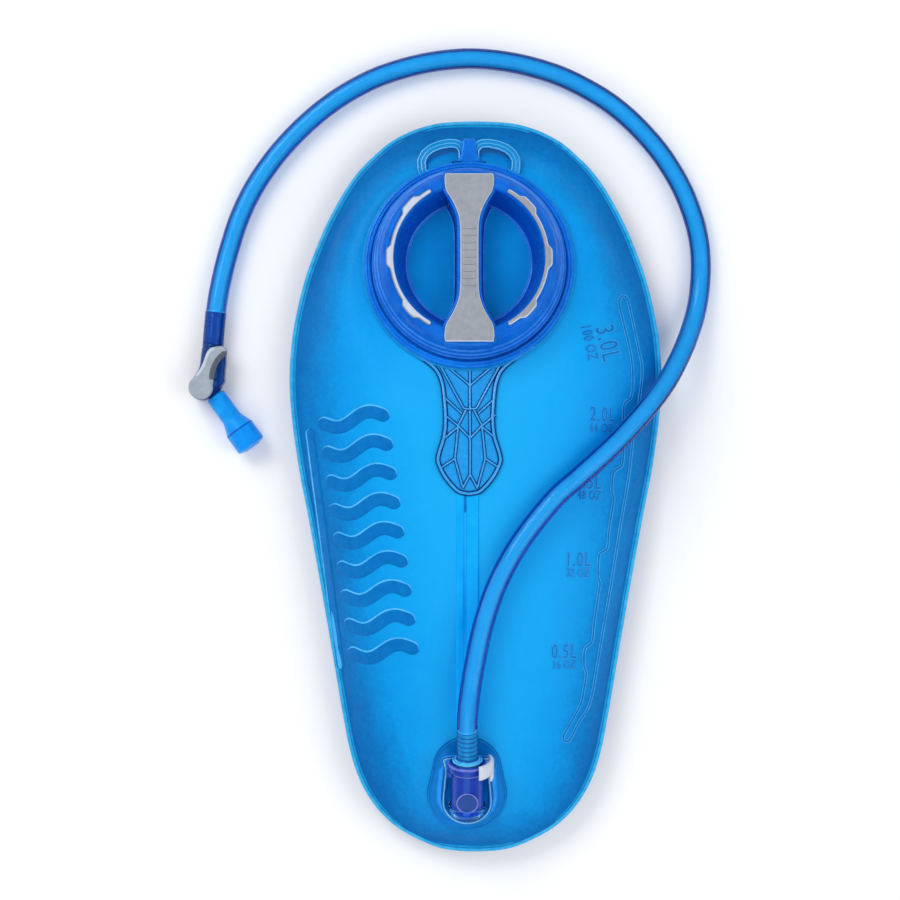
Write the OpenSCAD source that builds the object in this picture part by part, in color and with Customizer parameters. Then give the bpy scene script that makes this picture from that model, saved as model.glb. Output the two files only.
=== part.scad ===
// Hydration reservoir with a screw cap, a quick-release drink tube and a bite valve.
// It lies flat on its back film. X runs across, Y runs from the outlet port to the cap, Z points up.

/* [Reservoir] */
// Height of the welded seam above the resting face
seam_z = 16; // [15:0.5:17]
// Rise of the front film over the seam at the crown
crown_h = 32; // [30:0.5:33]
// Thickness of each film
film_t = 0.8; // [0.6:0.1:1]
// Width of the welded seam
seam_w = 3; // [2.5:0.5:4]
// Depth of the crease along the centre baffle
crease = 2.5; // [1:0.5:3]

/* [Fill port] */
// Place of the cap axis across the reservoir
cap_x = -4; // [-5:0.5:-3]
// Place of the cap axis along the reservoir
cap_y = 125; // [124:0.5:126]
// Height of the film under the collar
cap_z = 36; // [35:0.5:37]
// Tilt of the cap axis towards the top edge, in degrees
cap_tilt = 6; // [5:0.5:7]
// Inner radius of the threaded neck
neck_r = 41.5; // [41.4:0.1:41.6]
// Height of the neck over the film
neck_h = 16; // [15.6:0.1:16]
// Rise of the cap for one full turn
lead = 12; // [11.5:0.5:12]

/* [Outlet port] */
// Place of the outlet port across the reservoir
port_x = -5; // [-5.5:0.5:-4.5]
// Place of the outlet port along the reservoir
port_y = -167; // [-168:0.5:-166]
// Height of the film under the outlet port
port_z = 31.8; // [31.5:0.1:32]
// Slope of the outlet port, in degrees
port_tilt = 16; // [15:0.5:17]
// Height of the socket axis over the film
socket_h = 11; // [11:0.1:11.4]
// Radius of the socket bore
socket_r = 7; // [7:0.05:7.1]

/* [Drink tube] */
// Outside diameter of the drink tube
tube_od = 12; // [11.6:0.1:12.2]
// Inside diameter of the drink tube
tube_id = 8; // [7.8:0.1:8]

/* [Shut-off and bite valve] */
// Radius of the valve barrel
barrel_r = 7.2; // [7:0.1:7.4]
// Radius of the rotary core
core_r = 5.15; // [5.12:0.01:5.16]
// Radius of the mouthpiece
bite_r = 8.7; // [8.5:0.1:8.8]

/* [Hidden] */
$fn = 64;

// half-width of the welded outline at each height
outline = [[-210, 0], [-209, 15], [-206, 26], [-199, 40.5], [-192, 50], [-184, 57.5],
    [-174, 64], [-162, 69.2], [-148, 73], [-136, 75.3], [-124, 77.5], [-102, 81.2], [-78, 85.3], [-54, 89.5],
    [-32, 93.5], [-12, 97.2], [6, 100.8], [22, 103.3], [36, 105.2], [50, 106.5],
    [64, 106.9], [76, 106.3], [88, 105], [100, 102.8], [112, 100], [124, 96.5],
    [136, 92], [148, 87], [160, 81], [172, 74], [182, 66.5], [190, 58.5],
    [197, 50.5], [202, 42], [206, 32.5], [209, 20], [210, 0]];
end_y = 206.8;

function sm(t) = let (u = min(1, max(0, t))) u * u * (3 - 2 * u);
function mix(a, b, t) = a * (1 - t) + b * t;
function half_w(y) = lookup(y, outline);
function inner_w(y) = max(0.5, half_w(y) - seam_w);
function end_f(y) = max(0, 1 - pow(abs(y) / end_y, 3));
function side_f(x, y) = max(0, 1 - pow(abs(x) / inner_w(y), 3));
function edge_f(x, y) = sm(min(inner_w(y) - abs(x), end_y - abs(y)) / 10);
function cap_f(x, y) = let (dx = x - cap_x, dy = y - cap_y, r = max(0.01, norm([dx, dy])))
    1 - sm((r - 61) / (12 + 16 * (1 - dy / r)));
function port_f(x, y) = let (r = norm([(x - port_x) / 26, (y - port_y + 1) / 28.5])) 1 - sm((r - 1) / 0.6);
function crease_f(x, y) = crease * exp(-pow((x - port_x) / 9, 2)) * sm((y + 140) / 16) * sm((-2 - y) / 16);
// rise of the inside of the front film over the seam
function rise(x, y) =
    let (f = edge_f(x, y),
        free = crown_h * end_f(y) * side_f(x, y) - crease_f(x, y) * f,
        capp = cap_z - tan(cap_tilt) * (y - cap_y) - film_t - seam_z,
        portp = port_z + tan(port_tilt) * (y - port_y) - film_t - seam_z)
    mix(mix(free, capp, cap_f(x, y) * f), portp, port_f(x, y) * f);
// fall of the inside of the back film under the seam, flat where it rests
function fall(x, y) = let (q = min(1, end_f(y) * side_f(x, y) / 0.55)) (seam_z - film_t) * (1 - pow(1 - q, 2));
function front_z(x, y) = seam_z + film_t + rise(x, y);

cols = [-1, -0.93, -0.84, -0.73, -0.6, -0.46, -0.31, -0.155, 0, 0.155, 0.31, 0.46, 0.6, 0.73, 0.84, 0.93, 1];

// closed shell between two height functions over the welded outline
module film(front) {
    n = len(outline);
    row = function (j) let (y = outline[j][0], w = half_w(y), wi = inner_w(y))
        concat([[-w, y]], [for (c = cols) [c * min(wi, w - 0.4), y]], [[w, y]]);
    m = len(cols) + 2;
    inner = [for (j = [1 : n - 2]) for (p = row(j)) p];
    pts = concat([[0, outline[0][0]]], inner, [[0, outline[n - 1][0]]]);
    k = len(pts);
    s = front ? 1 : -1;
    h = function (p) front ? rise(p[0], p[1]) : fall(p[0], p[1]);
    lo = [for (p = pts) [p[0], p[1], seam_z + s * h(p)]];
    hi = [for (p = pts) [p[0], p[1], seam_z + s * (h(p) + film_t)]];
    body = concat(
        [for (i = [0 : m - 2]) [0, 1 + i, 2 + i]],
        [for (j = [0 : n - 4]) for (i = [0 : m - 2]) let (a = 1 + j * m + i) each
            [[a, a + m, a + 1], [a + 1, a + m, a + m + 1]]],
        [for (i = [0 : m - 2]) let (a = 1 + (n - 3) * m + i) [a, k - 1, a + 1]]);
    rim = concat([0], [for (j = [0 : n - 3]) 1 + j * m], [k - 1], [for (j = [n - 3 : -1 : 0]) (j + 1) * m]);
    wall = [for (i = [0 : len(rim) - 1]) let (a = rim[i], b = rim[(i + 1) % len(rim)]) each
        [[a, b, b + k], [a, b + k, a + k]]];
    up = [for (f = body) [f[0] + k, f[1] + k, f[2] + k]];
    down = [for (f = body) [f[2], f[1], f[0]]];
    all = concat(up, down, wall);
    polyhedron(points = concat(lo, hi), faces = front ? all : [for (f = all) [f[2], f[1], f[0]]]);
}

module at_cap() translate([cap_x, cap_y, cap_z]) rotate([-cap_tilt, 0, 0]) children();
module at_port() translate([port_x, port_y, port_z]) rotate([port_tilt, 0, 0]) children();
// revolves a profile of [radius, distance] about the socket axis
module along_socket() at_port() translate([0, 0, socket_h]) rotate([-90, 0, 0]) children();
module revolve(p) rotate_extrude() polygon(p);
module torus(r, c) rotate_extrude() translate([r, 0]) circle(c, $fn = 24);

// ridge of a screw thread: a trapezoid swept along a helix
module ridge(r_root, r_tip, z0, a0, sweep, base, tip) {
    n = ceil(sweep / 10);
    st = [for (i = [0 : n]) let (t = i / n, a = a0 + sweep * t, z = z0 + lead * sweep * t / 360,
        e = min(1, 0.35 + 6 * min(t, 1 - t)), rt = mix(r_root, r_tip, e))
        for (q = [[r_root, -base], [rt, -tip], [rt, tip], [r_root, base]])
            [q[0] * cos(a), q[0] * sin(a), z + q[1]]];
    side = [for (i = [0 : n - 1]) for (k = [0 : 3]) let (a = i * 4 + k, b = i * 4 + (k + 1) % 4) each
        [[a, b, b + 4], [a, b + 4, a + 4]]];
    caps = [[0, 3, 2], [0, 2, 1], [4 * n, 4 * n + 1, 4 * n + 2], [4 * n, 4 * n + 2, 4 * n + 3]];
    f = concat(side, caps);
    polyhedron(points = st, faces = r_tip > r_root ? f : [for (g = f) [g[2], g[1], g[0]]]);
}

// helical compression spring along Z
module coil(r, wire, len_z, turns) {
    n = turns * 12;
    m = 6;
    pts = [for (i = [0 : n]) for (k = [0 : m - 1]) let (a = 360 * i * turns / n, b = 360 * k / m,
        rr = r + wire * cos(b)) [rr * cos(a), rr * sin(a), wire + (len_z - 2 * wire) * i / n + wire * sin(b)]];
    side = [for (i = [0 : n - 1]) for (k = [0 : m - 1]) let (a = i * m + k, b = i * m + (k + 1) % m) each
        [[a, b, a + m], [b, b + m, a + m]]];
    polyhedron(points = pts, faces = concat(side, [[for (k = [m - 1 : -1 : 0]) k]],
        [[for (k = [0 : m - 1]) n * m + k]]));
}

// ---------- reservoir ----------
module front_film() color([0.04, 0.58, 0.91]) difference() {
    film(true);
    at_cap() translate([0, 0, -12]) cylinder(r = neck_r + 5, h = 24, $fn = 96);
    at_port() translate([0, -8, -6]) cylinder(r = 5.6, h = 12);
}

module back_film() color([0.03, 0.5, 0.82]) film(false);

// strip that ties the two films together along the middle
module center_baffle() color([0.15, 0.7, 0.95]) {
    ys = [-138, -124, -110, -90, -70, -50, -30, -16, -8];
    sec = [[-6, 0, 0], [6, 0, 0], [6, 0, 0.8], [0.4, 0, 0.8], [0.4, 1, -0.8], [6, 1, -0.8], [6, 1, 0],
        [-6, 1, 0], [-6, 1, -0.8], [-0.4, 1, -0.8], [-0.4, 0, 0.8], [-6, 0, 0.8]];
    m = len(sec);
    n = len(ys);
    pts = [for (y = ys) let (top = front_z(port_x, y) - film_t - 0.7) for (q = sec)
        [port_x + q[0], y, (q[1] == 0 ? film_t + 0.3 : top) + q[2]]];
    side = [for (j = [0 : n - 2]) for (k = [0 : m - 1]) let (a = j * m + k, b = j * m + (k + 1) % m) each
        [[a, b, a + m], [b, b + m, a + m]]];
    cap = [[0, 1, 2], [0, 2, 3], [0, 3, 10], [0, 10, 11], [3, 4, 9], [3, 9, 10],
        [6, 7, 8], [6, 8, 9], [6, 9, 4], [6, 4, 5]];
    polyhedron(points = pts, faces = concat(side, [for (f = cap) [f[2], f[1], f[0]]],
        [for (f = cap) [for (i = f) (n - 1) * m + i]]));
}

// ---------- fill port ----------
web_rows = [[78, 37], [75, 32], [71, 26], [67, 21], [63, 18], [57, 16], [49, 15], [38, 14.4], [29, 15.2],
    [21, 17.6], [15.5, 18.7], [11, 17.4], [5.5, 14.5], [0, 10.1], [-3.5, 5.8]];

// clear moulding under the collar: ring, hanging loops and ribbed grip
module grip_web() {
    u = [-1, -0.75, -0.5, -0.25, 0, 0.25, 0.5, 0.75, 1];
    m = len(u);
    n = len(web_rows);
    xy = [for (r = web_rows) for (q = u) [cap_x + q * r[1], r[0]]];
    k = m * n;
    lo = [for (p = xy) [p[0], p[1], front_z(p[0], p[1]) + 0.45]];
    hi = [for (i = [0 : k - 1]) let (q = abs(u[i % m])) [xy[i][0], xy[i][1],
        front_z(xy[i][0], xy[i][1]) + (q > 0.7 || i >= k - m ? 2.8 : 2.3)]];
    top = [for (j = [0 : n - 2]) for (i = [0 : m - 2]) let (a = j * m + i) each
        [[a, a + 1, a + m], [a + 1, a + m + 1, a + m]]];
    rim = concat([for (i = [0 : m - 1]) i], [for (j = [1 : n - 1]) j * m + m - 1],
        [for (i = [m - 2 : -1 : 0]) (n - 1) * m + i], [for (j = [n - 2 : -1 : 1]) j * m]);
    wall = [for (i = [0 : len(rim) - 1]) let (a = rim[i], b = rim[(i + 1) % len(rim)]) each
        [[a, a + k, b + k], [a, b + k, b]]];
    polyhedron(points = concat(lo, hi), faces = concat([for (f = top) [f[0] + k, f[1] + k, f[2] + k]],
        [for (f = top) [f[2], f[1], f[0]]], wall));
}

hang_out = [[29.5, 50], [29.8, 58], [28, 62.5], [25.5, 66.3], [22, 68.8], [16.5, 70.8], [10.5, 72.4], [5, 73.4]];
hang_slot = [[24, 54], [24.2, 60], [22.5, 63], [20, 65], [16, 66.7], [11, 67.6], [7.5, 67.3], [6, 65.5], [6, 54]];
function flip(p) = [for (i = [len(p) - 1 : -1 : 0]) [-p[i][0], p[i][1]]];

module handle_moulding() color([0.45, 0.75, 0.98]) {
    at_cap() {
        rotate_extrude($fn = 128) polygon([[neck_r + 4.5, 0.35], [60.2, 0.35], [60.4, 1.4], [60.2, 2.5], [neck_r + 4.5, 2.5]]);
        translate([0, 0, 0.35]) linear_extrude(2.15) difference() {
            polygon(concat(hang_out, flip(hang_out)));
            polygon(hang_slot);
            polygon(flip(hang_slot));
            circle(r = 52);
        }
    }
    grip_web();
}

// threaded neck, weld ring and spine
module fill_collar() color([0.04, 0.32, 0.78]) at_cap() {
    rotate_extrude($fn = 128) polygon([[neck_r, -5], [45, -5], [45, 2.8], [58.6, 2.8], [58.9, 3.4], [58.9, 5.2],
        [58.2, 6.2], [57.2, 6.4], [56.4, 5.9], [56, 4.8], [45, 4.8], [45, neck_h - 0.8], [44.2, neck_h],
        [42.2, neck_h], [neck_r, neck_h - 0.7]]);
    translate([0, 0, 2.8]) linear_extrude(2.7)
        polygon([[7, 57.5], [5.4, 60.5], [4.2, 63.5], [3.8, 66], [3.8, 71], [2.6, 72.3], [-2.6, 72.3], [-3.8, 71],
            [-3.8, 66], [-4.2, 63.5], [-5.4, 60.5], [-7, 57.5]]);
    for (k = [0 : 2]) ridge(44.7, 47.9, 8.5, 120 * k, 150, 0.95, 0.5);
}

bar_half = [[13.3, 47.2], [13.7, 44.5], [13.5, 40.5], [12.6, 37], [11, 34.4], [9.4, 31.6], [8, 28.9], [6.9, 26.1],
    [6, 23.4], [5.5, 20.6], [5.1, 15], [5, 0]];
function grown(p, d) = [for (q = p) [q[0] + d, q[1]]];
function down_y(p) = [for (i = [len(p) - 2 : -1 : 0]) [p[i][0], -p[i][1]]];
function hourglass(p) = concat(p, down_y(p), [for (q = p) [-q[0], -q[1]]], [for (q = down_y(p)) [-q[0], -q[1]]]);
arch_r = 700;
arch_z = 25.7;
shoulder = [[12.6, 50.6], [14.9, 47.4]];

// screw cap: ridged skirt, raised rim, two finger recesses and a turning bar
module cap_shell() color([0.05, 0.33, 0.82]) at_cap() {
    difference() {
        union() {
            rotate_extrude($fn = 128) polygon([[0, 3.8], [36.4, 3.8], [38.6, 6], [40.7, 14.5], [41.1, 18], [48.7, 18],
                [48.7, 5.4], [54, 5.4], [54.5, 6], [54.5, 9.4], [53.6, 10], [53.3, 12.8], [52.4, 13.6],
                [51.8, 16.6], [50.8, 17.5], [50, 20.4], [48.4, 23.4], [46.2, 25], [41.8, 25], [40.8, 23.4], [39.2, 16],
                [37, 9], [35.8, 7.2], [34.4, 6.6], [0, 6.6]]);
            // turning bar between the recesses, clear of the neck's groove, with a shoulder at each end
            intersection() {
                translate([0, 0, 6]) linear_extrude(24) polygon(hourglass(concat(shoulder, grown(bar_half, 1.6))));
                rotate_extrude($fn = 128) polygon([[0, 5], [36, 5], [38.6, 10], [40.2, 16], [40.9, 18.6], [50.4, 18.6],
                    [51, 20.5], [48.6, 25], [47.6, 30], [0, 30]]);
                translate([-30, 0, arch_z - arch_r]) rotate([0, 90, 0]) cylinder(r = arch_r, h = 60, $fn = 180);
            }
        }
        // seat of the soft bar, cut to the same arch
        difference() {
            translate([0, 0, 20]) linear_extrude(12) polygon(hourglass(bar_half));
            translate([-30, 0, arch_z - 1 - arch_r]) rotate([0, 90, 0]) cylinder(r = arch_r, h = 60, $fn = 180);
        }
    }
    for (k = [0 : 2]) ridge(48.9, 45.8, 6.6, 120 * k, 50, 0.95, 0.5);
}

// soft grip on the turning bar
module cap_grip_bar() color([0.66, 0.68, 0.71]) at_cap() intersection() {
    translate([0, 0, 18]) linear_extrude(12) polygon(hourglass(grown(bar_half, -0.05)));
    translate([-30, 0, arch_z + 1.4 - arch_r]) rotate([0, 90, 0]) difference() {
        cylinder(r = arch_r, h = 60, $fn = 180);
        translate([2.4, 0, -1]) cylinder(r = arch_r, h = 62, $fn = 180);
    }
}

// two soft arcs on the rim, each with three wider pads
module cap_grip_arcs() color([0.66, 0.68, 0.71]) at_cap() for (s = [0, 180]) rotate([0, 0, s]) translate([0, 0, 25]) {
    rotate([0, 0, -60.5]) rotate_extrude(angle = 121, $fn = 128) polygon([[42, 0], [44.2, 0], [44.2, 0.7], [43.8, 1.1], [42.4, 1.1], [42, 0.7]]);
    for (a = [-50, -8, 34]) rotate([0, 0, a]) rotate_extrude(angle = 16, $fn = 128)
        polygon([[43, 0], [46, 0], [46, 0.6], [45.4, 1.05], [43, 1.05]]);
}

// flat ring that seals the cap on the neck
module cap_gasket() color([0.75, 0.78, 0.8]) at_cap()
    rotate_extrude($fn = 128) polygon([[41.7, neck_h + 0.12], [45.4, neck_h + 0.12], [45.6, neck_h + 0.9], [45.4, 17.9], [41.7, 17.9], [41.5, neck_h + 0.9]]);

// ---------- outlet port ----------
// outline of the flange: a small circle above a larger one, joined by straight sides
egg = concat([for (a = [10 : 10 : 170]) [19.4 * cos(a), 8.3 + 19.4 * sin(a)]], [for (a = [190 : 10 : 350]) [22.6 * cos(a), -7.6 + 22.6 * sin(a)]]);
cradle = concat([[12, 15.6], [-12, 15.6], [-12.8, 8], [-14.4, -6]], [for (a = [190 : 10 : 350]) [14.6 * cos(a), -8.6 + 14.4 * sin(a)]],
    [[14.4, -6], [12.8, 8]]);

// clear weld flange with the cradle that holds the socket
module outlet_port() color([0.35, 0.72, 0.97]) at_port() difference() {
    union() {
        translate([0, 0, 0.25]) linear_extrude(1.55) polygon(egg);
        translate([0, 0, 1]) linear_extrude(7.6) polygon(cradle);
        translate([0, -8, -4]) cylinder(r = 5.2, h = 6);
    }
    translate([0, -14.6, socket_h]) rotate([-90, 0, 0]) cylinder(r = 9.05, h = 40);
    translate([0, 11, socket_h]) rotate([-90, 0, 0]) cylinder(r = 11.3, h = 12);
    translate([9.5, 6, 2.6]) cube([8, 12, 12]);
    translate([0, -8, -6]) cylinder(r = 4, h = 20);
}

// quick-release socket with the poppet chamber, the seat and the latch slot
module port_socket() color([0.16, 0.17, 0.6]) difference() {
    union() {
        along_socket() revolve([[0, -14.4], [6.4, -14.4], [8.4, -13.2], [9, -11.4], [9, 11.3], [11, 12.9], [11, 16.2],
            [10.2, 16.5], [10.2, 17], [9.7, 17.5], [8.9, 17.5], [8.5, 17], [socket_r + 0.3, 16.6], [socket_r, 16.2], [socket_r, 4.2], [4, 3],
            [4, 1], [6, 1], [6, -10.8], [0, -10.8]]);
        at_port() translate([0, -4, socket_h + 4]) cylinder(r = 6.2, h = 5.6);
        // housing of the button spring
        at_port() translate([7.4, 6.6, socket_h - 2.1]) cube([3.1, 4.8, 5.2]);
    }
    // keeps the round boss out of the chamber
    along_socket() translate([0, 0, -10.8]) cylinder(r = 6, h = 11.8);
    // water inlet from below
    at_port() translate([0, -8, -4]) cylinder(r = 4, h = 12);
    // latch slot, open to the right
    at_port() translate([0, 13.7, socket_h]) rotate([-90, 0, 0]) {
        translate([0.6, 0, 0]) cylinder(r = 9.15, h = 1.8);
        translate([-0.95, 0, 0]) cylinder(r = 9.15, h = 1.8);
        translate([-0.95, -9.15, 0]) cube([1.55, 18.3, 1.8]);
        translate([0, -5.3, 0]) cube([14, 10.6, 1.8]);
    }
    // pocket of the button spring
    at_port() translate([8, 9, socket_h]) rotate([0, 90, 0]) cylinder(r = 2, h = 6);
}

// poppet that shuts the port when the plug leaves
module port_poppet() color([0.85, 0.87, 0.9]) along_socket()
    revolve([[0, -3.6], [5.4, -3.6], [5.5, -3.3], [5.5, -1.95], [2.9, -1.95], [2.9, -1.2], [2.2, -0.8], [2.2, 4.5],
        [1.7, 4.9], [0, 4.9]]);

module poppet_seal() color([0.15, 0.15, 0.16]) along_socket()
    revolve([[2.95, -1.93], [5.4, -1.93], [5.5, -1.75], [5.3, -1.57], [2.95, -1.57]]);

module poppet_spring() color([0.75, 0.76, 0.78]) along_socket() translate([0, 0, -10.7]) coil(4.3, 0.45, 7, 4);

// side button with the latch plate that locks the plug
module release_button() color([0.78, 0.79, 0.81]) {
    at_port() {
        // latch plate with an oval hole
        translate([0, 13.9, socket_h]) rotate([-90, 0, 0]) difference() {
            union() {
                translate([0.6, 0, 0]) cylinder(r = 8.9, h = 1.4);
                translate([4, -4.9, 0]) cube([9.6, 9.8, 1.4]);
            }
            translate([0, 0, -1]) cylinder(r = 7.25, h = 4);
            translate([1.5, 0, -1]) cylinder(r = 7.25, h = 4);
            translate([0, -7.25, -1]) cube([1.5, 14.5, 4]);
        }
        // thumb pad
        translate([0, 6.5, socket_h]) rotate([-90, 0, 0]) difference() {
            intersection() {
                cylinder(r = 14.9, h = 13);
                union() {
                    translate([0, -13, 4.6]) cube([20, 19, 20]);
                    translate([0, -3.6, 0]) cube([20, 7.2, 20]);
                }
            }
            translate([0, 0, -1]) cylinder(r = 12.8, h = 20);
        }
    }
}

module button_spring() color([0.75, 0.76, 0.78]) at_port() translate([8.15, 9, socket_h]) rotate([0, 90, 0]) coil(1.4, 0.25, 4.5, 4);

// ---------- drink line ----------
plug_face = 19.6;
module link_plug() color([0.35, 0.78, 0.97]) along_socket() {
    revolve([[2.8, 5.1], [6.3, 5.1], [6.92, 5.9], [6.92, 8.9], [5.5, 8.9], [5.5, 11.1], [6.92, 11.1], [6.92, 13.5],
        [5.9, 13.5], [5.9, 15.6], [6.92, 15.6], [6.92, 17.8], [8.2, 17.8], [8.4, 18.4], [8.4, 19.2], [8, plug_face],
        [4, plug_face], [4, 21], [4.35, 21.4], [4, 24.4], [4, 24.6], [4.35, 25], [4, 28], [4, 28.2], [4.35, 28.6], [4, 31.6],
        [4, 31.8], [4.3, 32.2], [3.7, 36], [2.8, 36]]);
    // cross bar that holds the poppet open
    translate([-3, -0.9, 5.1]) cube([6, 1.8, 2]);
}

module plug_o_ring() color([0.12, 0.12, 0.13]) along_socket() translate([0, 0, 10]) torus(6.22, 0.72);

function port_pt(s) = [port_x, port_y + s * cos(port_tilt) - socket_h * sin(port_tilt), port_z + s * sin(port_tilt) + socket_h * cos(port_tilt)];
tube_end = [-152, 82, 9];
tube_dir = [0.078, 0.997, 0];
route = concat([port_pt(plug_face), port_pt(32), port_pt(44)], [
    [-3.5, -113, 57], [-0.5, -95, 58], [4.5, -73, 58], [12.5, -51, 57.5], [25, -29, 57], [43, -6.5, 54.5], [56, 5, 51.5],
    [68, 15.5, 48], [80, 26.5, 43.5], [91, 38, 38], [101, 49.5, 32], [110.5, 62.5, 25.5], [118.5, 77, 18.5],
    [124, 89.5, 13], [128, 102, 9.2], [130.2, 114, 7], [131, 126, 6.3], [130.5, 138, 6.2], [128.5, 149.5, 6.2], [125, 161, 6.2],
    [120.5, 172, 6.2], [114.5, 183, 6.2], [106, 195.5, 6.2], [93, 210, 6.2], [79, 222, 6.2], [63.5, 231.5, 6.2],
    [46, 239.5, 6.2], [22, 246, 6.2], [-3, 248.5, 6.2], [-28, 246, 6.2], [-52, 239.5, 6.2], [-69.5, 231.5, 6.2],
    [-84.5, 222, 6.2], [-99, 210, 6.2], [-112.5, 196, 6.2], [-122.5, 183, 6.2], [-130.5, 170, 6.2], [-137, 156, 6.2],
    [-142, 141, 6.3], [-146, 126, 6.9], [-148.8, 112, 8.2], [-150.2, 102, 8.9], [-151.1, 93, 9], tube_end]);

function unit(v) = v / norm(v);
module drink_tube() color([0.1, 0.5, 0.85]) {
    n = len(route);
    m = 12;
    dir = [for (i = [0 : n - 1]) i == 0 ? [0, cos(port_tilt), sin(port_tilt)] : i == n - 1 ? unit(-tube_dir)
        : unit(unit(route[i + 1] - route[i]) + unit(route[i] - route[i - 1]))];
    ring = function (i, r) let (s = unit(cross(dir[i], [0, 0, 1])), u = cross(s, dir[i]))
        [for (k = [0 : m - 1]) route[i] + r * (s * cos(360 * k / m) + u * sin(360 * k / m))];
    pts = concat([for (i = [0 : n - 1]) each ring(i, tube_od / 2)], [for (i = [0 : n - 1]) each ring(i, tube_id / 2 + 0.05)]);
    o = n * m;
    outer = [for (i = [0 : n - 2]) for (k = [0 : m - 1]) let (a = i * m + k, b = i * m + (k + 1) % m) each
        [[a, b, a + m], [b, b + m, a + m]]];
    inner = [for (f = outer) [f[2] + o, f[1] + o, f[0] + o]];
    e = (n - 1) * m;
    ends = [for (k = [0 : m - 1]) let (b = (k + 1) % m) each
        [[k, b + o, b], [k, k + o, b + o], [e + k, e + b, e + b + o], [e + k, e + b + o, e + k + o]]];
    polyhedron(points = pts, faces = concat(outer, inner, ends));
}

// ---------- shut-off and bite valve ----------
hub = [-158, 57];
valve_z = 9;
spout = [-151.4, 53.5];
spout_a = -54.2;
inlet_a = 85.5;
// revolves about the line of the inlet, measured from the end of the tube
module along_inlet() translate(tube_end) rotate([0, 0, inlet_a]) rotate([0, 90, 0]) children();
module along_spout() translate([spout[0], spout[1], valve_z]) rotate([0, 0, spout_a]) rotate([0, 90, 0]) children();

module valve_body() color([0.06, 0.16, 0.5]) difference() {
    union() {
        difference() {
            union() {
                along_inlet() revolve([[0, -21], [6.6, -21], [barrel_r, -20], [barrel_r, -0.6], [6.6, 0], [0, 0]]);
                translate([-153.4, 60, valve_z]) sphere(r = barrel_r);
                translate([hub[0], hub[1], 1.8]) cylinder(r = barrel_r, h = 13.9);
            }
            along_spout() translate([0, 0, 1.2]) cylinder(r = 14, h = 14);
        }
        // barb for the tube
        along_inlet() revolve([[0, -1], [4, -1], [4, 1.4], [4.4, 1.8], [4, 5], [4, 5.2], [4.4, 5.6], [4, 9], [4, 9.2],
            [4.4, 9.6], [4, 13], [4, 13.2], [4.3, 13.6], [3.6, 18], [0, 18]]);
        // spigot for the bite valve
        along_spout() revolve([[0, -5], [4.5, -5], [4.5, 11], [4.1, 13], [0, 13]]);
    }
    // barrel bore
    translate([hub[0], hub[1], 3.4]) cylinder(r = 5.2, h = 20);
    // water way from the tube into the barrel
    along_inlet() translate([0, 0, -8]) cylinder(r = 2.6, h = 40);
    translate([hub[0], hub[1], valve_z]) rotate([0, 0, 74]) rotate([0, 90, 0]) cylinder(r = 2.4, h = 18);
    // water way from the barrel to the spout
    translate([hub[0], hub[1], valve_z]) rotate([0, 0, -28]) rotate([0, 90, 0]) cylinder(r = 2.4, h = 8);
    along_spout() translate([0, 0, -1]) cylinder(r = 3, h = 30);
}

// rotary core with an angled water way
module shutoff_core() color([0.85, 0.87, 0.9]) translate([hub[0], hub[1], 0]) difference() {
    union() {
        rotate_extrude() polygon([[0, 3.6], [core_r - 0.3, 3.6], [core_r, 3.9], [core_r, 4.3], [4.5, 4.3], [4.5, 5.5], [core_r, 5.5], [core_r, 12.9],
            [4.5, 12.9], [4.5, 14.1], [core_r, 14.1], [core_r, 15.5], [0, 15.5]]);
        translate([-2, -2, 15]) cube([4, 4, 3.4]);
    }
    translate([0, 0, valve_z]) rotate([0, 0, 74]) rotate([0, 90, 0]) cylinder(r = 2.3, h = 8);
    translate([0, 0, valve_z]) rotate([0, 0, -28]) rotate([0, 90, 0]) cylinder(r = 2.3, h = 8);
    translate([0, 0, valve_z]) sphere(r = 2.7);
}

module core_o_rings() color([0.12, 0.12, 0.13]) for (z = [4.9, 13.5]) translate([hub[0], hub[1], z]) torus(4.85, 0.33);

lever_arm = [[-162, 61], [-160.6, 64.5], [-158.4, 67.4], [-156.4, 71.2], [-155, 75.8], [-153.6, 78.6], [-151.2, 80.2],
    [-146.6, 80.9], [-143.8, 80.2], [-142.8, 78], [-143.6, 75.4], [-147, 72.4], [-149.2, 69], [-150.6, 64.4], [-151.4, 59]];
// lever: round hub and a thumb arm over the valve body
module shutoff_lever() color([0.62, 0.66, 0.7]) difference() {
    union() {
        translate([hub[0], hub[1], 16.5]) rotate_extrude() polygon([[0, 0], [6.7, 0], [7, 0.3], [7, 2.5], [6.4, 3.1], [0, 3.1]]);
        translate([0, 0, 16.7]) linear_extrude(2.5) polygon(lever_arm);
    }
    translate([hub[0] - 2.05, hub[1] - 2.05, 15]) cube([4.1, 4.1, 3.5]);
}

// soft mouthpiece that opens when it is bitten
module bite_valve() color([0.04, 0.42, 0.9]) along_spout() difference() {
    rotate_extrude() polygon([[4.55, 1.3], [5.6, 1.3], [5.8, 1.6], [5.8, 18], [bite_r - 0.3, 25], [bite_r, 26], [bite_r, 36], [bite_r - 0.6, 36.8],
        [6, 37.6], [3, 38.1], [0, 38.3], [0, 35.6], [3, 35.3], [5.6, 34.4], [6.9, 33.4], [6.9, 26.8], [4.55, 19]]);
    translate([-0.2, -5, 30]) cube([0.4, 10, 12]);
}

front_film();
back_film();
center_baffle();
handle_moulding();
fill_collar();
cap_shell();
cap_grip_bar();
cap_grip_arcs();
cap_gasket();
outlet_port();
port_socket();
port_poppet();
poppet_seal();
poppet_spring();
release_button();
button_spring();
link_plug();
plug_o_ring();
drink_tube();
valve_body();
shutoff_core();
core_o_rings();
shutoff_lever();
bite_valve();
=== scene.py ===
import math

import bmesh
import bpy
import numpy as np
from mathutils import Matrix, Vector
from mathutils.geometry import tessellate_polygon


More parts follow.
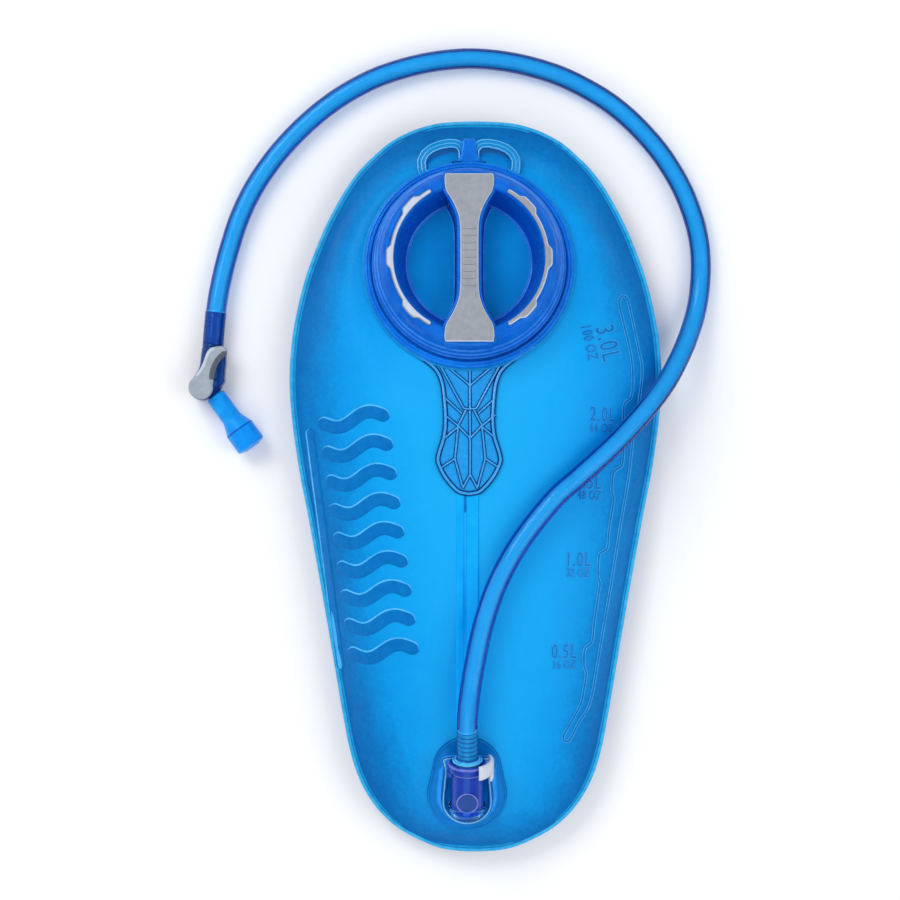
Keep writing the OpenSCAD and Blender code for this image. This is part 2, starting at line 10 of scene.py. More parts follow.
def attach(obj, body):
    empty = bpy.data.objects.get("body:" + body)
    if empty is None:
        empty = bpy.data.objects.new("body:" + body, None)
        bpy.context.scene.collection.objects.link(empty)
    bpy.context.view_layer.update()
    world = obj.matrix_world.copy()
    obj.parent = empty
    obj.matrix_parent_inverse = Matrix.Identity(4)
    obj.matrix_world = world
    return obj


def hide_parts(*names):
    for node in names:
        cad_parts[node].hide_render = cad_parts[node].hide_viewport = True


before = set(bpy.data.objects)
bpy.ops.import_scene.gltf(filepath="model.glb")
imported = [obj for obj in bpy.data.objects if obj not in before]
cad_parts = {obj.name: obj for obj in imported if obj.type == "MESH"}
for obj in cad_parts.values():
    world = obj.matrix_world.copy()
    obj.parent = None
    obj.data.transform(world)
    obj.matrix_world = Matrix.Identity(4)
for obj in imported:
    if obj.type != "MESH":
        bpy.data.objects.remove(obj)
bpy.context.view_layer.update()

MM = 0.001

# ---------------------------------------------------------------- camera
cam_data = bpy.data.cameras.new("camera")
cam_data.lens = 76.4
cam_data.sensor_width = 36.0
cam_data.clip_start = 0.01
cam = bpy.data.objects.new("camera", cam_data)
cam.location = (-0.0147, 0.0210, 1.116)
cam.rotation_euler = (0.0, 0.0, 0.0)
bpy.context.scene.collection.objects.link(cam)
bpy.context.scene.camera = cam

# ---------------------------------------------------------------- the numbers of the CAD model, in millimetres
SEAM_Z, CROWN_H, FILM_T, SEAM_W, CREASE = 16.0, 32.0, 0.8, 3.0, 2.5
CAP = (-4.0, 125.0, 36.0)
CAP_TILT = math.radians(6)
NECK_R, NECK_H = 41.5, 16.0
PORT = (-5.0, -167.0, 31.8)
PORT_TILT = math.radians(16)
SOCKET_H = 11.0
END_Y = 206.8
OUTLINE = [(-210, 0), (-209, 15), (-206, 26), (-199, 40.5), (-192, 50), (-184, 57.5), (-174, 64), (-162, 69.2),
           (-148, 73), (-136, 75.3), (-124, 77.5), (-102, 81.2), (-78, 85.3), (-54, 89.5), (-32, 93.5), (-12, 97.2),
           (6, 100.8), (22, 103.3), (36, 105.2), (50, 106.5), (64, 106.9), (76, 106.3), (88, 105), (100, 102.8),
           (112, 100), (124, 96.5), (136, 92), (148, 87), (160, 81), (172, 74), (182, 66.5), (190, 58.5),
           (197, 50.5), (202, 42), (206, 32.5), (209, 20), (210, 0)]


def port_pt(s):
    c, d = math.cos(PORT_TILT), math.sin(PORT_TILT)
    return (PORT[0], PORT[1] + s * c - SOCKET_H * d, PORT[2] + s * d + SOCKET_H * c)


ROUTE = [port_pt(19.6), port_pt(32), port_pt(44)] + [
    (-3.5, -113, 57), (-0.5, -95, 58), (4.5, -73, 58), (12.5, -51, 57.5), (25, -29, 57), (43, -6.5, 54.5), (56, 5, 51.5),
    (68, 15.5, 48), (80, 26.5, 43.5), (91, 38, 38), (101, 49.5, 32), (110.5, 62.5, 25.5), (118.5, 77, 18.5),
    (124, 89.5, 13), (128, 102, 9.2), (130.2, 114, 7), (131, 126, 6.3), (130.5, 138, 6.2), (128.5, 149.5, 6.2),
    (125, 161, 6.2), (120.5, 172, 6.2), (114.5, 183, 6.2), (106, 195.5, 6.2), (93, 210, 6.2), (79, 222, 6.2),
    (63.5, 231.5, 6.2), (46, 239.5, 6.2), (22, 246, 6.2), (-3, 248.5, 6.2), (-28, 246, 6.2), (-52, 239.5, 6.2),
    (-69.5, 231.5, 6.2), (-84.5, 222, 6.2), (-99, 210, 6.2), (-112.5, 196, 6.2), (-122.5, 183, 6.2),
    (-130.5, 170, 6.2), (-137, 156, 6.2), (-142, 141, 6.3), (-146, 126, 6.9), (-148.8, 112, 8.2), (-150.2, 102, 8.9),
    (-151.1, 93, 9), (-152, 82, 9)]
TUBE_END = (-152.0, 82.0, 9.0)
HUB = (-158.0, 57.0)
VALVE_Z = 9.0
INLET_A = math.radians(85.5)
SPOUT = (-151.4, 53.5)
SPOUT_A = math.radians(-54.2)


# ---------------------------------------------------------------- curves and surfaces as functions
def spline(points, per=8, closed=False):
    """Catmull-Rom through points of any dimension, centripetal enough for short, even steps."""
    p = np.asarray(points, float)
    n = len(p)
    if closed:
        q = np.vstack([p[-1], p, p[0], p[1]])
        spans = n
    else:
        q = np.vstack([2 * p[0] - p[1], p, 2 * p[-1] - p[-2]])
        spans = n - 1
    out = []
    for i in range(spans):
        a, b, c, d = q[i], q[i + 1], q[i + 2], q[i + 3]
        for k in range(per):
            t = k / per
            out.append(0.5 * (2 * b + (c - a) * t + (2 * a - 5 * b + 4 * c - d) * t * t + (3 * b - a - 3 * c + d) * t ** 3))
    if not closed:
        out.append(p[-1])
    return np.array(out)


def resample(points, step, closed=False):
    """Even steps along a polyline."""
    p = np.asarray(points, float)
    if closed:
        p = np.vstack([p, p[0]])
    d = np.concatenate([[0], np.cumsum(np.linalg.norm(np.diff(p, axis=0), axis=1))])
    n = max(3, int(round(d[-1] / step)))
    t = np.linspace(0, d[-1], n + 1)
    if closed:
        t = t[:-1]
    return np.stack([np.interp(t, d, p[:, k]) for k in range(p.shape[1])], axis=1)


_half = [(y, w) for y, w in OUTLINE]
_loop = spline([(y, w) for y, w in _half] + [(y, -w) for y, w in _half[-2:0:-1]], 10, closed=True)
_dense = _loop[: (len(_half) - 1) * 10 + 1]
_dense = _dense[np.argsort(_dense[:, 0], kind="stable")]
DENSE_Y, DENSE_W = _dense[:, 0], np.maximum(_dense[:, 1], 0)


def sm(t):
    t = np.clip(t, 0, 1)
    return t * t * (3 - 2 * t)


def half_w(y):
    return np.interp(y, DENSE_Y, DENSE_W)


def inner_w(y):
    return np.maximum(0.5, half_w(y) - SEAM_W)


def end_f(y):
    return np.maximum(0, 1 - (np.abs(y) / END_Y) ** 3)


def side_f(x, y):
    return np.maximum(0, 1 - (np.abs(x) / inner_w(y)) ** 3)


def edge_d(x, y):
    return np.minimum(inner_w(y) - np.abs(x), END_Y - np.abs(y))


def rise(x, y):
    x, y = np.asarray(x, float), np.asarray(y, float)
    f = sm(edge_d(x, y) / 10)
    crease = CREASE * np.exp(-((x - PORT[0]) / 9) ** 2) * sm((y + 140) / 16) * sm((-2 - y) / 16)
    free = CROWN_H * end_f(y) * side_f(x, y) - crease * f
    dx, dy = x - CAP[0], y - CAP[1]
    r = np.maximum(0.01, np.hypot(dx, dy))
    cap_f = 1 - sm((r - 61) / (12 + 16 * (1 - dy / r)))
    capp = CAP[2] - math.tan(CAP_TILT) * dy - FILM_T - SEAM_Z
    q = np.hypot((x - PORT[0]) / 26, (y - PORT[1] + 1) / 28.5)
    port_f = 1 - sm((q - 1) / 0.6)
    portp = PORT[2] + math.tan(PORT_TILT) * (y - PORT[1]) - FILM_T - SEAM_Z
    a = free * (1 - cap_f * f) + capp * cap_f * f
    return a * (1 - port_f * f) + portp * port_f * f


def wrinkle(x, y):
    """Low swells over the film and short puckers that die away from the weld."""
    x, y = np.asarray(x, float), np.asarray(y, float)
    d = np.maximum(0, edge_d(x, y))
    a = np.arctan2(x / 100.0, y / 205.0)
    puck = (np.sin(37 * a + 1.3) * 0.5 + np.sin(61 * a + 0.4) * 0.35 + np.sin(97 * a + 2.1) * 0.22) * (1 + 0.5 * np.sin(5 * a + 1))
    near = np.exp(-(d / 11.0) ** 2) * sm(d / 4.0)
    swell = 0.30 * np.sin(x / 19.0 + 0.7) * np.sin(y / 33.0 + 1.9) + 0.22 * np.sin(x / 11.0 - y / 23.0)
    r = np.hypot(x - CAP[0], y - CAP[1])
    q = np.hypot((x - PORT[0]) / 26, (y - PORT[1] + 1) / 28.5)
    quiet = sm((r - 64) / 14) * sm((q - 1.15) / 0.5) * sm(d / 14.0)
    return 0.34 * puck * near * sm((r - 62) / 8) * sm((q - 1.1) / 0.3) + swell * quiet * 0.8


def front_z(x, y):
    return SEAM_Z + FILM_T + rise(x, y)


def skin_z(x, y):
    """Top of the front film as it is shown."""
    return front_z(x, y) + wrinkle(x, y)


def back_z(x, y):
    q = np.minimum(1, end_f(y) * side_f(x, y) / 0.55)
    return SEAM_Z - FILM_T - (SEAM_Z - FILM_T) * (1 - (1 - q) ** 2)


AT_CAP = Matrix.Translation(Vector(CAP)) @ Matrix.Rotation(-CAP_TILT, 4, "X")
AT_PORT = Matrix.Translation(Vector(PORT)) @ Matrix.Rotation(PORT_TILT, 4, "X")
SOCKET = AT_PORT @ Matrix.Translation(Vector((0, 0, SOCKET_H))) @ Matrix.Rotation(-math.pi / 2, 4, "X")
INLET = Matrix.Translation(Vector(TUBE_END)) @ Matrix.Rotation(INLET_A, 4, "Z") @ Matrix.Rotation(math.pi / 2, 4, "Y")
SPOUT_M = Matrix.Translation(Vector((SPOUT[0], SPOUT[1], VALVE_Z))) @ Matrix.Rotation(SPOUT_A, 4, "Z") @ Matrix.Rotation(math.pi / 2, 4, "Y")
AT_HUB = Matrix.Translation(Vector((HUB[0], HUB[1], 0)))
ONE = Matrix.Identity(4)


def place(m, p):
    """Points in millimetres through a matrix."""
    a = np.array(m)
    p = np.asarray(p, float)
    return p @ a[:3, :3].T + a[:3, 3]


# ---------------------------------------------------------------- mesh making
def make(name, verts, faces, mats, body="reservoir", smooth=True, face_mat=None, flip=False):
    mesh = bpy.data.meshes.new(name)
    v = np.asarray(verts, float) * MM
    f = [tuple(int(i) for i in q) for q in faces]
    if flip:
        f = [q[::-1] for q in f]
    mesh.from_pydata(v.tolist(), [], f)
    mesh.validate(clean_customdata=False)
    for m in mats if isinstance(mats, (list, tuple)) else [mats]:
        mesh.materials.append(m)
    if face_mat is not None and len(face_mat) == len(mesh.polygons):
        mesh.polygons.foreach_set("material_index", np.asarray(face_mat, np.int32))
    mesh.polygons.foreach_set("use_smooth", np.full(len(mesh.polygons), smooth))
    mesh.update()
    o = bpy.data.objects.new(name, mesh)
    bpy.context.scene.collection.objects.link(o)
    if body:
        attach(o, body)
    return o


def join(parts):
    """Several (verts, faces) as one."""
    vs, fs, n = [], [], 0
    for v, f in parts:
        v = np.asarray(v, float)
        vs.append(v)
        fs += [tuple(int(i) + n for i in q) for q in f]
        n += len(v)
    return np.vstack(vs), fs


def grid(n, m, close_u=False, close_v=False):
    """Quads of an n by m grid of points, row by row."""
    f = []
    for i in range(n if close_u else n - 1):
        a = i * m
        b = ((i + 1) % n) * m
        for j in range(m if close_v else m - 1):
            k = (j + 1) % m
            f.append((a + j, b + j, b + k, a + k))
    return f


def fillet(points, radii, seg=4, closed=True):
    """Rounds the corners of a profile. radii is one number or one per point."""
    p = [np.asarray(q, float) for q in points]
    n = len(p)
    rs = radii if hasattr(radii, "__len__") else [radii] * n
    out = []
    for i in range(n):
        if not closed and i in (0, n - 1) or rs[i] <= 0:
            out.append(p[i])
            continue
        a, b, c = p[i - 1], p[i], p[(i + 1) % n]
        u, v = a - b, c - b
        lu, lv = np.linalg.norm(u), np.linalg.norm(v)
        if lu < 1e-6 or lv < 1e-6:
            out.append(b)
            continue
        u, v = u / lu, v / lv
        cosang = float(np.clip(np.dot(u, v), -1, 1))
        half = math.acos(cosang) / 2
        if half > math.pi / 2 - 0.05:
            out.append(b)
            continue
        d = min(rs[i] / math.tan(half), 0.45 * lu, 0.45 * lv)
        p0, p1 = b + u * d, b + v * d
        for k in range(seg + 1):
            t = k / seg
            out.append((1 - t) ** 2 * p0 + 2 * t * (1 - t) * b + t * t * p1)
    return out


def lathe(profile, n=128, m=ONE, a0=0.0, a1=None):
    """A closed profile of (r, z) turned about Z. A point with r 0 becomes a pole."""
    full = a1 is None
    span = 2 * math.pi if full else a1 - a0
    cnt = n if full else n + 1
    ang = [a0 + span * i / n for i in range(cnt)]
    k = len(profile)
    v, idx = [], {}
    for j, (r, z) in enumerate(profile):
        if r < 1e-6 and full:
            idx[j] = [len(v)] * cnt
            v.append((0, 0, z))
        else:
            idx[j] = list(range(len(v), len(v) + cnt))
            v += [(r * math.cos(a), r * math.sin(a), z) for a in ang]
    f = []
    for j in range(k):
        jj = (j + 1) % k
        p, q = idx[j], idx[jj]
        if profile[j][0] < 1e-6 and profile[jj][0] < 1e-6 and full:
            continue
        for i in range(cnt if full else cnt - 1):
            ii = (i + 1) % cnt
            face = []
            for t in (p[i], p[ii], q[ii], q[i]):
                if t not in face:
                    face.append(t)
            if len(face) > 2:
                f.append(tuple(face))
    if not full:
        f.append(tuple(idx[j][0] for j in range(k)))
        f.append(tuple(idx[j][-1] for j in range(k))[::-1])
    return place(m, v), f


def area_sign(poly):
    p = np.asarray(poly, float)
    return 0.5 * np.sum(p[:, 0] * np.roll(p[:, 1], -1) - np.roll(p[:, 0], -1) * p[:, 1])


def normals_2d(p, closed=True):
    p = np.asarray(p, float)
    if closed:
        t = np.roll(p, -1, axis=0) - np.roll(p, 1, axis=0)
    else:
        t = np.gradient(p, axis=0)
    t /= np.maximum(1e-9, np.linalg.norm(t, axis=1))[:, None]
    return np.stack([t[:, 1], -t[:, 0]], axis=1)


def plate(poly, section, m=ONE, cap_z=None):
    """A closed outline with a rounded edge. section is a list of (inset, z) from the bottom inside to the top inside; both ends are capped."""
    p = np.asarray(poly, float)
    if area_sign(p) < 0:
        p = p[::-1]
    nr = normals_2d(p)
    n = len(p)
    v = []
    for inset, z in section:
        q = p - nr * inset
        v += [(a, b, z) for a, b in q]
    k = len(section)
    f = []
    for j in range(k - 1):
        for i in range(n):
            ii = (i + 1) % n
            f.append((j * n + i, j * n + ii, (j + 1) * n + ii, (j + 1) * n + i))
    for j, up in ((0, False), (k - 1, True)):
        ring = [Vector((v[j * n + i][0], v[j * n + i][1], 0)) for i in range(n)]
        for t in tessellate_polygon([ring]):
            t = [j * n + i for i in t]
            a, b, c = (v[i] for i in t)
            s = (b[0] - a[0]) * (c[1] - a[1]) - (b[1] - a[1]) * (c[0] - a[0])
            if (s > 0) != up:
                t = t[::-1]
            f.append(tuple(t))
    return place(m, v), f


def round_edge(z0, z1, r, r0=0.0, seg=4):
    """Section for plate: up the side and over a rounded top edge."""
    s = []
    if r0 > 0:
        s += [(r0 * (1 - math.sin(t)), z0 + r0 * (1 - math.cos(t))) for t in np.linspace(0, math.pi / 2, seg + 1)]
        s = [(r0 * 3, z0)] + s
    else:
        s = [(0.4, z0), (0.0, z0 + 0.001)]
    s += [(r * (1 - math.cos(t)), z1 - r * (1 - math.sin(t))) for t in np.linspace(0, math.pi / 2, seg + 1)]
    s += [(r * 2.2, z1)]
    return s


def bead(path, width, height, closed=False, surface=skin_z, sink=0.35, step=1.2, taper=True, shape=None, lift=0.0):
    """A low rib that follows a surface: path in XY, height over the surface."""
    p = resample(path, step, closed)
    nr = normals_2d(p, closed)
    n = len(p)
    sec = shape or [(-0.5, -1), (-0.47, 0.30), (-0.38, 0.72), (-0.2, 0.95), (0, 1), (0.2, 0.95), (0.38, 0.72), (0.47, 0.30), (0.5, -1)]
    fade = np.ones(n)
    if not closed and taper:
        d = np.arange(n) * step
        fade = np.clip(np.minimum(d, d[::-1]) / (width * 0.5) + 0.25, 0, 1) ** 0.5
    k = len(sec)
    v = np.zeros((n, k, 3))
    for j, (o, h) in enumerate(sec):
        q = p + nr * (o * width * fade)[:, None]
        z = surface(q[:, 0], q[:, 1]) + lift
        z = z + (h * height * fade if h > 0 else -sink)
        v[:, j, 0], v[:, j, 1], v[:, j, 2] = q[:, 0], q[:, 1], z
    f = grid(n, k, close_u=closed, close_v=True)
    if not closed:
        f.append(tuple(range(k)))
        f.append(tuple((n - 1) * k + j for j in range(k))[::-1])
    return v.reshape(-1, 3), f


def tube_mesh(path, radius, n=24, closed=False):
    """A plain round tube along a path; radius may be a list."""
    p = np.asarray(path, float)
    rr = np.broadcast_to(np.asarray(radius, float), (len(p),))
    v = []
    up = None
    for i in range(len(p)):
        if closed:
            t = p[(i + 1) % len(p)] - p[i - 1]
        else:
            t = p[min(i + 1, len(p) - 1)] - p[max(i - 1, 0)]
        t = t / np.linalg.norm(t)
        if up is None:
            up = np.array([0, 0, 1.0]) if abs(t[2]) < 0.9 else np.array([1.0, 0, 0])
        s = np.cross(t, up)
        s /= np.linalg.norm(s)
        u = np.cross(s, t)
        up = u
        for k in range(n):
            a = 2 * math.pi * k / n
            v.append(p[i] + rr[i] * (s * math.cos(a) + u * math.sin(a)))
    return np.array(v), grid(len(p), n, close_u=closed, close_v=True)


# ---------------------------------------------------------------- materials
def lin(h):
    c = [int(h[i:i + 2], 16) / 255 for i in (1, 3, 5)]
    return tuple((x / 12.92 if x <= 0.04045 else ((x + 0.055) / 1.055) ** 2.4) for x in c) + (1.0,)


class Mat:
    def __init__(self, name):
        self.m = bpy.data.materials.new(name)
        self.m.use_nodes = True
        self.t = self.m.node_tree
        self.n = self.t.nodes
        self.b = self.n["Principled BSDF"]
        self.out = self.n["Material Output"]
        tc = self.n.new("ShaderNodeTexCoord")
        self.co = tc.outputs["Object"]

    def set(self, **kw):
        for k, v in kw.items():
            self.b.inputs[k.replace("_", " ")].default_value = v
        return self

    def link(self, a, b):
        self.t.links.new(a, b)

    def noise(self, scale, detail=4, rough=0.5, dist=0.0, stretch=None):
        co = self.co
        if stretch:
            mp = self.n.new("ShaderNodeMapping")
            mp.inputs["Scale"].default_value = stretch
            self.link(co, mp.inputs["Vector"])
            co = mp.outputs[0]
        nz = self.n.new("ShaderNodeTexNoise")
        nz.inputs["Scale"].default_value = scale
        nz.inputs["Detail"].default_value = detail
        nz.inputs["Roughness"].default_value = rough
        nz.inputs["Distortion"].default_value = dist
        self.link(co, nz.inputs["Vector"])
        return nz.outputs["Fac"]

    def ramp(self, fac, stops):
        r = self.n.new("ShaderNodeValToRGB")
        e = r.color_ramp.elements
        while len(e) > 1:
            e.remove(e[-1])
        e[0].position, e[0].color = stops[0]
        for pos, col in stops[1:]:
            x = e.new(pos)
            x.color = col
        self.link(fac, r.inputs["Fac"])
        return r.outputs["Color"]

    def rng(self, fac, lo, hi, a=0.3, b=0.7):
        r = self.n.new("ShaderNodeMapRange")
        r.inputs["From Min"].default_value, r.inputs["From Max"].default_value = a, b
        r.inputs["To Min"].default_value, r.inputs["To Max"].default_value = lo, hi
        self.link(fac, r.inputs["Value"])
        return r.outputs["Result"]

    def math(self, op, a, b):
        m = self.n.new("ShaderNodeMath")
        m.operation = op
        for i, x in enumerate((a, b)):
            if isinstance(x, (int, float)):
                m.inputs[i].default_value = x
            else:
                self.link(x, m.inputs[i])
        return m.outputs[0]

    def colour(self, fac, stops):
        self.link(self.ramp(fac, stops), self.b.inputs["Base Color"])
        return self

    def rough(self, fac, lo, hi):
        self.link(self.rng(fac, lo, hi), self.b.inputs["Roughness"])
        return self

    def bump(self, height, strength=0.2, dist=0.0003):
        b = self.n.new("ShaderNodeBump")
        b.inputs["Strength"].default_value = strength
        b.inputs["Distance"].default_value = dist
        self.link(height, b.inputs["Height"])
        self.link(b.outputs["Normal"], self.b.inputs["Normal"])
        return self

    def shadow_clear(self, tint):
        """Glass that lets the lamps through, tinted."""
        lp = self.n.new("ShaderNodeLightPath")
        tr = self.n.new("ShaderNodeBsdfTransparent")
        tr.inputs["Color"].default_value = tint
        mx = self.n.new("ShaderNodeMixShader")
        self.link(lp.outputs["Is Shadow Ray"], mx.inputs[0])
        self.link(self.b.outputs[0], mx.inputs[1])
        self.link(tr.outputs[0], mx.inputs[2])
        self.link(mx.outputs[0], self.out.inputs["Surface"])
        return self

    def absorb(self, color, density):
        va = self.n.new("ShaderNodeVolumeAbsorption")
        va.inputs["Color"].default_value = color
        va.inputs["Density"].default_value = density
        self.link(va.outputs[0], self.out.inputs["Volume"])
        return self


BLUE_SHINE = (0.22, 0.66, 1.0, 1.0)


def weld_distance(t):
    """Distance from the welded outline in metres, from the object's own coordinates."""
    sep = t.n.new("ShaderNodeSeparateXYZ")
    t.link(t.co, sep.inputs[0])
    x, y = sep.outputs["X"], sep.outputs["Y"]
    fc = t.n.new("ShaderNodeFloatCurve")
    cv = fc.mapping.curves[0]
    ys_ = np.linspace(-0.21, 0.21, 22)
    pts = [((q + 0.21) / 0.42, float(half_w(q * 1000)) / 110) for q in ys_]
    cv.points[0].location, cv.points[1].location = pts[0], pts[-1]
    for p in pts[1:-1]:
        cv.points.new(*p)
    fc.mapping.update()
    t.link(t.math("MULTIPLY", t.math("ADD", y, 0.21), 1 / 0.42), fc.inputs["Value"])
    side = t.math("SUBTRACT", t.math("MULTIPLY", fc.outputs[0], 0.11), t.math("ABSOLUTE", x, 0))
    end = t.math("SUBTRACT", 0.21, t.math("ABSOLUTE", y, 0))
    both_ = t.math("SMOOTH_MIN", side, end)
    both_.node.inputs[2].default_value = 0.03
    return both_


def film_material(name, stops, rough=(0.30, 0.42), shift=0.0):
    t = Mat(name)
    # colour grows darker towards the welded outline: painted shade where the film curves down to the weld
    d = t.math("MULTIPLY", weld_distance(t), 1 / 0.108)
    big = t.noise(11.0, 3, 0.5)
    fine = t.noise(420.0, 3, 0.6)
    spot = t.noise(70.0, 3, 0.6)
    fac = t.math("ADD", d, t.math("MULTIPLY", t.math("SUBTRACT", big, 0.5), 0.30))
    fac = t.math("ADD", fac, t.math("MULTIPLY", t.math("SUBTRACT", fine, 0.5), 0.16))
    fac = t.math("ADD", fac, t.math("MULTIPLY", t.math("SUBTRACT", spot, 0.5), 0.12))
    if shift:
        fac = t.math("ADD", fac, shift)
    t.colour(fac, [(p, lin(c)) for p, c in stops])
    t.rough(fine, *rough)
    peel = t.noise(900.0, 2, 0.5)
    t.bump(t.math("ADD", peel, t.math("MULTIPLY", fine, 0.8)), 0.14, 0.0002)
    t.set(Specular_IOR_Level=0.22, Specular_Tint=BLUE_SHINE)
    return t


def soft_plastic(name, dark, light, rough=(0.35, 0.5), scale=160, bump=0.12, coat=0.0, spec=0.4, sss=0.0, sss_scale=0.002, blue=False):
    t = Mat(name)
    fine = t.noise(scale, 4, 0.6)
    wide = t.noise(24.0, 3, 0.5)
    mixed = t.math("ADD", t.math("MULTIPLY", fine, 0.65), t.math("MULTIPLY", wide, 0.35))
    t.colour(mixed, [(0.36, lin(dark)), (0.64, lin(light))])
    t.rough(fine, *rough)
    t.bump(t.noise(scale * 6, 2, 0.5), bump, 0.00015)
    t.set(Specular_IOR_Level=spec, Coat_Weight=coat, Coat_Roughness=0.12)
    if blue:
        t.set(Specular_Tint=BLUE_SHINE)
    if sss:
        t.set(Subsurface_Weight=sss, Subsurface_Scale=sss_scale)
        t.b.inputs["Subsurface Radius"].default_value = (0.05, 0.5, 1.0)
    return t


def clear_plastic(name, tint, shade, absorb, density, rough=(0.03, 0.09), ior=1.25, bump=0.05):
    t = Mat(name)
    fine = t.noise(140, 3, 0.5)
    t.colour(fine, [(0.3, tint), (0.7, tuple(min(1, x * 1.04 + 0.005) for x in tint[:3]) + (1,))])
    t.rough(fine, *rough)
    t.bump(t.noise(260, 2, 0.5), bump, 0.0003)
    t.set(Transmission_Weight=1.0, IOR=ior, Specular_Tint=(0.55, 0.85, 1.0, 1.0))
    t.shadow_clear(shade)
    t.absorb(absorb, density)
    return t


# ramp from the welded outline inward, dark at the weld and light in the middle: painted shade of the film's falling
# sides, front and back
FILM_EDGE_SHADE_STOPS = [(0.0, "#0362ac"), (0.16, "#0370ba"), (0.30, "#0480cc"), (0.50, "#0893e0"), (0.80, "#0e9ee8"), (1.15, "#18a6ec"), (1.7, "#1eaaee")]
m_film = film_material("film_front", [(p / 1.8, c) for p, c in FILM_EDGE_SHADE_STOPS])
m_back = film_material("film_back", [(0.0, "#0466b0"), (0.2, "#0478c6"), (0.5, "#0a86d2"), (1.0, "#1492dc")])
# weld bead colour is a painted highlight; the weld's shade colour below is painted shade
m_weld_highlight = soft_plastic("film_weld", "#1c9ad8", "#44b6ea", (0.2, 0.3), 240, 0.1, spec=0.35, blue=True)
m_flange_dark = soft_plastic("film_weld_shade", "#035a96", "#0a6ea8", (0.25, 0.35), 240, 0.1, spec=0.3, blue=True)
m_flange_mid = soft_plastic("film_weld_mid", "#0a86c8", "#1a98d6", (0.25, 0.35), 240, 0.1, spec=0.3, blue=True)
m_strip = soft_plastic("film_strip", "#08a4f6", "#16b4fc", (0.22, 0.32), 60, 0.05, spec=0.25, blue=True)
m_strip_groove_shade = soft_plastic("film_strip_groove", "#0270c0", "#0680d0", (0.25, 0.35), 200, 0.08, spec=0.2, blue=True)
m_emboss = soft_plastic("film_relief", "#0268b4", "#0474c0", (0.24, 0.34), 200, 0.08, spec=0.3, blue=True)
m_relief_highlight = soft_plastic("film_relief_painted_highlight", "#30a6ea", "#56bcf2", (0.2, 0.3), 200, 0.08, spec=0.35, blue=True)
m_relief_shade = soft_plastic("film_relief_shade", "#0268b0", "#0474be", (0.24, 0.34), 200, 0.08, spec=0.2, blue=True)
m_cap = soft_plastic("cap_blue", "#0457c2", "#0a6cd8", (0.16, 0.26), 120, 0.05, spec=0.5, sss=0.3, sss_scale=0.004, blue=True)
m_cap_wall_shade = soft_plastic("cap_wall_painted_shade", "#0346b4", "#0556c4", (0.2, 0.3), 120, 0.05, spec=0.4, sss=0.2, sss_scale=0.004, blue=True)
m_capfloor = soft_plastic("cap_floor_blue", "#0280ca", "#048ad8", (0.26, 0.36), 60, 0.04, spec=0.15, blue=True)
m_cap_highlight = soft_plastic("cap_line_painted_highlight", "#1c6cd8", "#3a86e8", (0.16, 0.26), 120, 0.05, spec=0.5, blue=True)
m_collar = soft_plastic("collar_blue", "#0668d2", "#0e80ea", (0.16, 0.26), 120, 0.05, spec=0.5, sss=0.3, sss_scale=0.004, blue=True)
m_collar_dark = soft_plastic("collar_shade", "#023a8c", "#04489e", (0.2, 0.3), 120, 0.05, spec=0.4, blue=True)
m_grip = soft_plastic("grip_grey", "#8a8f97", "#999ea6", (0.5, 0.62), 300, 0.3, spec=0.35)
m_grip_highlight = soft_plastic("grip_painted_highlight", "#b4bfd4", "#c6d0e2", (0.4, 0.5), 300, 0.2, spec=0.4)
m_gasket = soft_plastic("gasket_pale", "#b4bcc4", "#c8d0d6", (0.5, 0.62), 200, 0.15)
m_black = soft_plastic("seal_black", "#141416", "#222226", (0.4, 0.55), 300, 0.15)
m_steel = soft_plastic("spring_wire", "#a8abb0", "#c4c7cc", (0.18, 0.32), 500, 0.1)
m_steel.set(Metallic=1.0)
m_socket = soft_plastic("socket_indigo", "#16309e", "#1e3eb0", (0.14, 0.24), 140, 0.05, spec=0.5, sss=0.2, sss_scale=0.003, blue=True)
m_boss = soft_plastic("socket_boss", "#1c2f84", "#263a90", (0.18, 0.28), 140, 0.05, spec=0.5, blue=True)
m_socket_highlight = soft_plastic("socket_painted_highlight", "#5a68c4", "#7480d0", (0.14, 0.24), 140, 0.05, spec=0.5)
m_white = soft_plastic("inner_plastic", "#c8ccd2", "#dde0e4", (0.35, 0.45), 200, 0.1)
m_button = soft_plastic("button_grey", "#c0c8d4", "#d2d9e2", (0.35, 0.48), 260, 0.18, spec=0.4)
m_lever = soft_plastic("lever_grey", "#8d97a4", "#9fa9b4", (0.36, 0.48), 240, 0.16, spec=0.45)
m_lever_highlight = soft_plastic("lever_painted_highlight", "#aeb8c4", "#c2cad4", (0.3, 0.42), 240, 0.16, spec=0.45)
m_lever_dark = soft_plastic("lever_shade", "#4c5158", "#62676e", (0.4, 0.5), 240, 0.16, spec=0.3)
m_valve = soft_plastic("valve_blue", "#06266e", "#0a3282", (0.2, 0.3), 140, 0.06, spec=0.45, sss=0.2, sss_scale=0.004, blue=True)
m_bite = soft_plastic("bite_blue", "#0884ec", "#12a0fa", (0.3, 0.42), 180, 0.12, spec=0.4, sss=0.4, sss_scale=0.005, blue=True)
m_bite_groove_shade = soft_plastic("bite_groove", "#0350b4", "#0560c4", (0.3, 0.42), 180, 0.12, spec=0.3, blue=True)
m_plug = soft_plastic("plug_cyan", "#36a8ec", "#66ccfa", (0.12, 0.22), 140, 0.04, spec=0.55, sss=0.3, sss_scale=0.003, blue=True)
m_plug_dark = soft_plastic("plug_shade", "#0668c4", "#0c7cd8", (0.14, 0.24), 140, 0.04, spec=0.5, blue=True)
m_clear = clear_plastic("clear_moulding", (0.42, 0.84, 1.0, 1), (0.7, 0.92, 1.0, 1), (0.05, 0.6, 0.95, 1), 60)
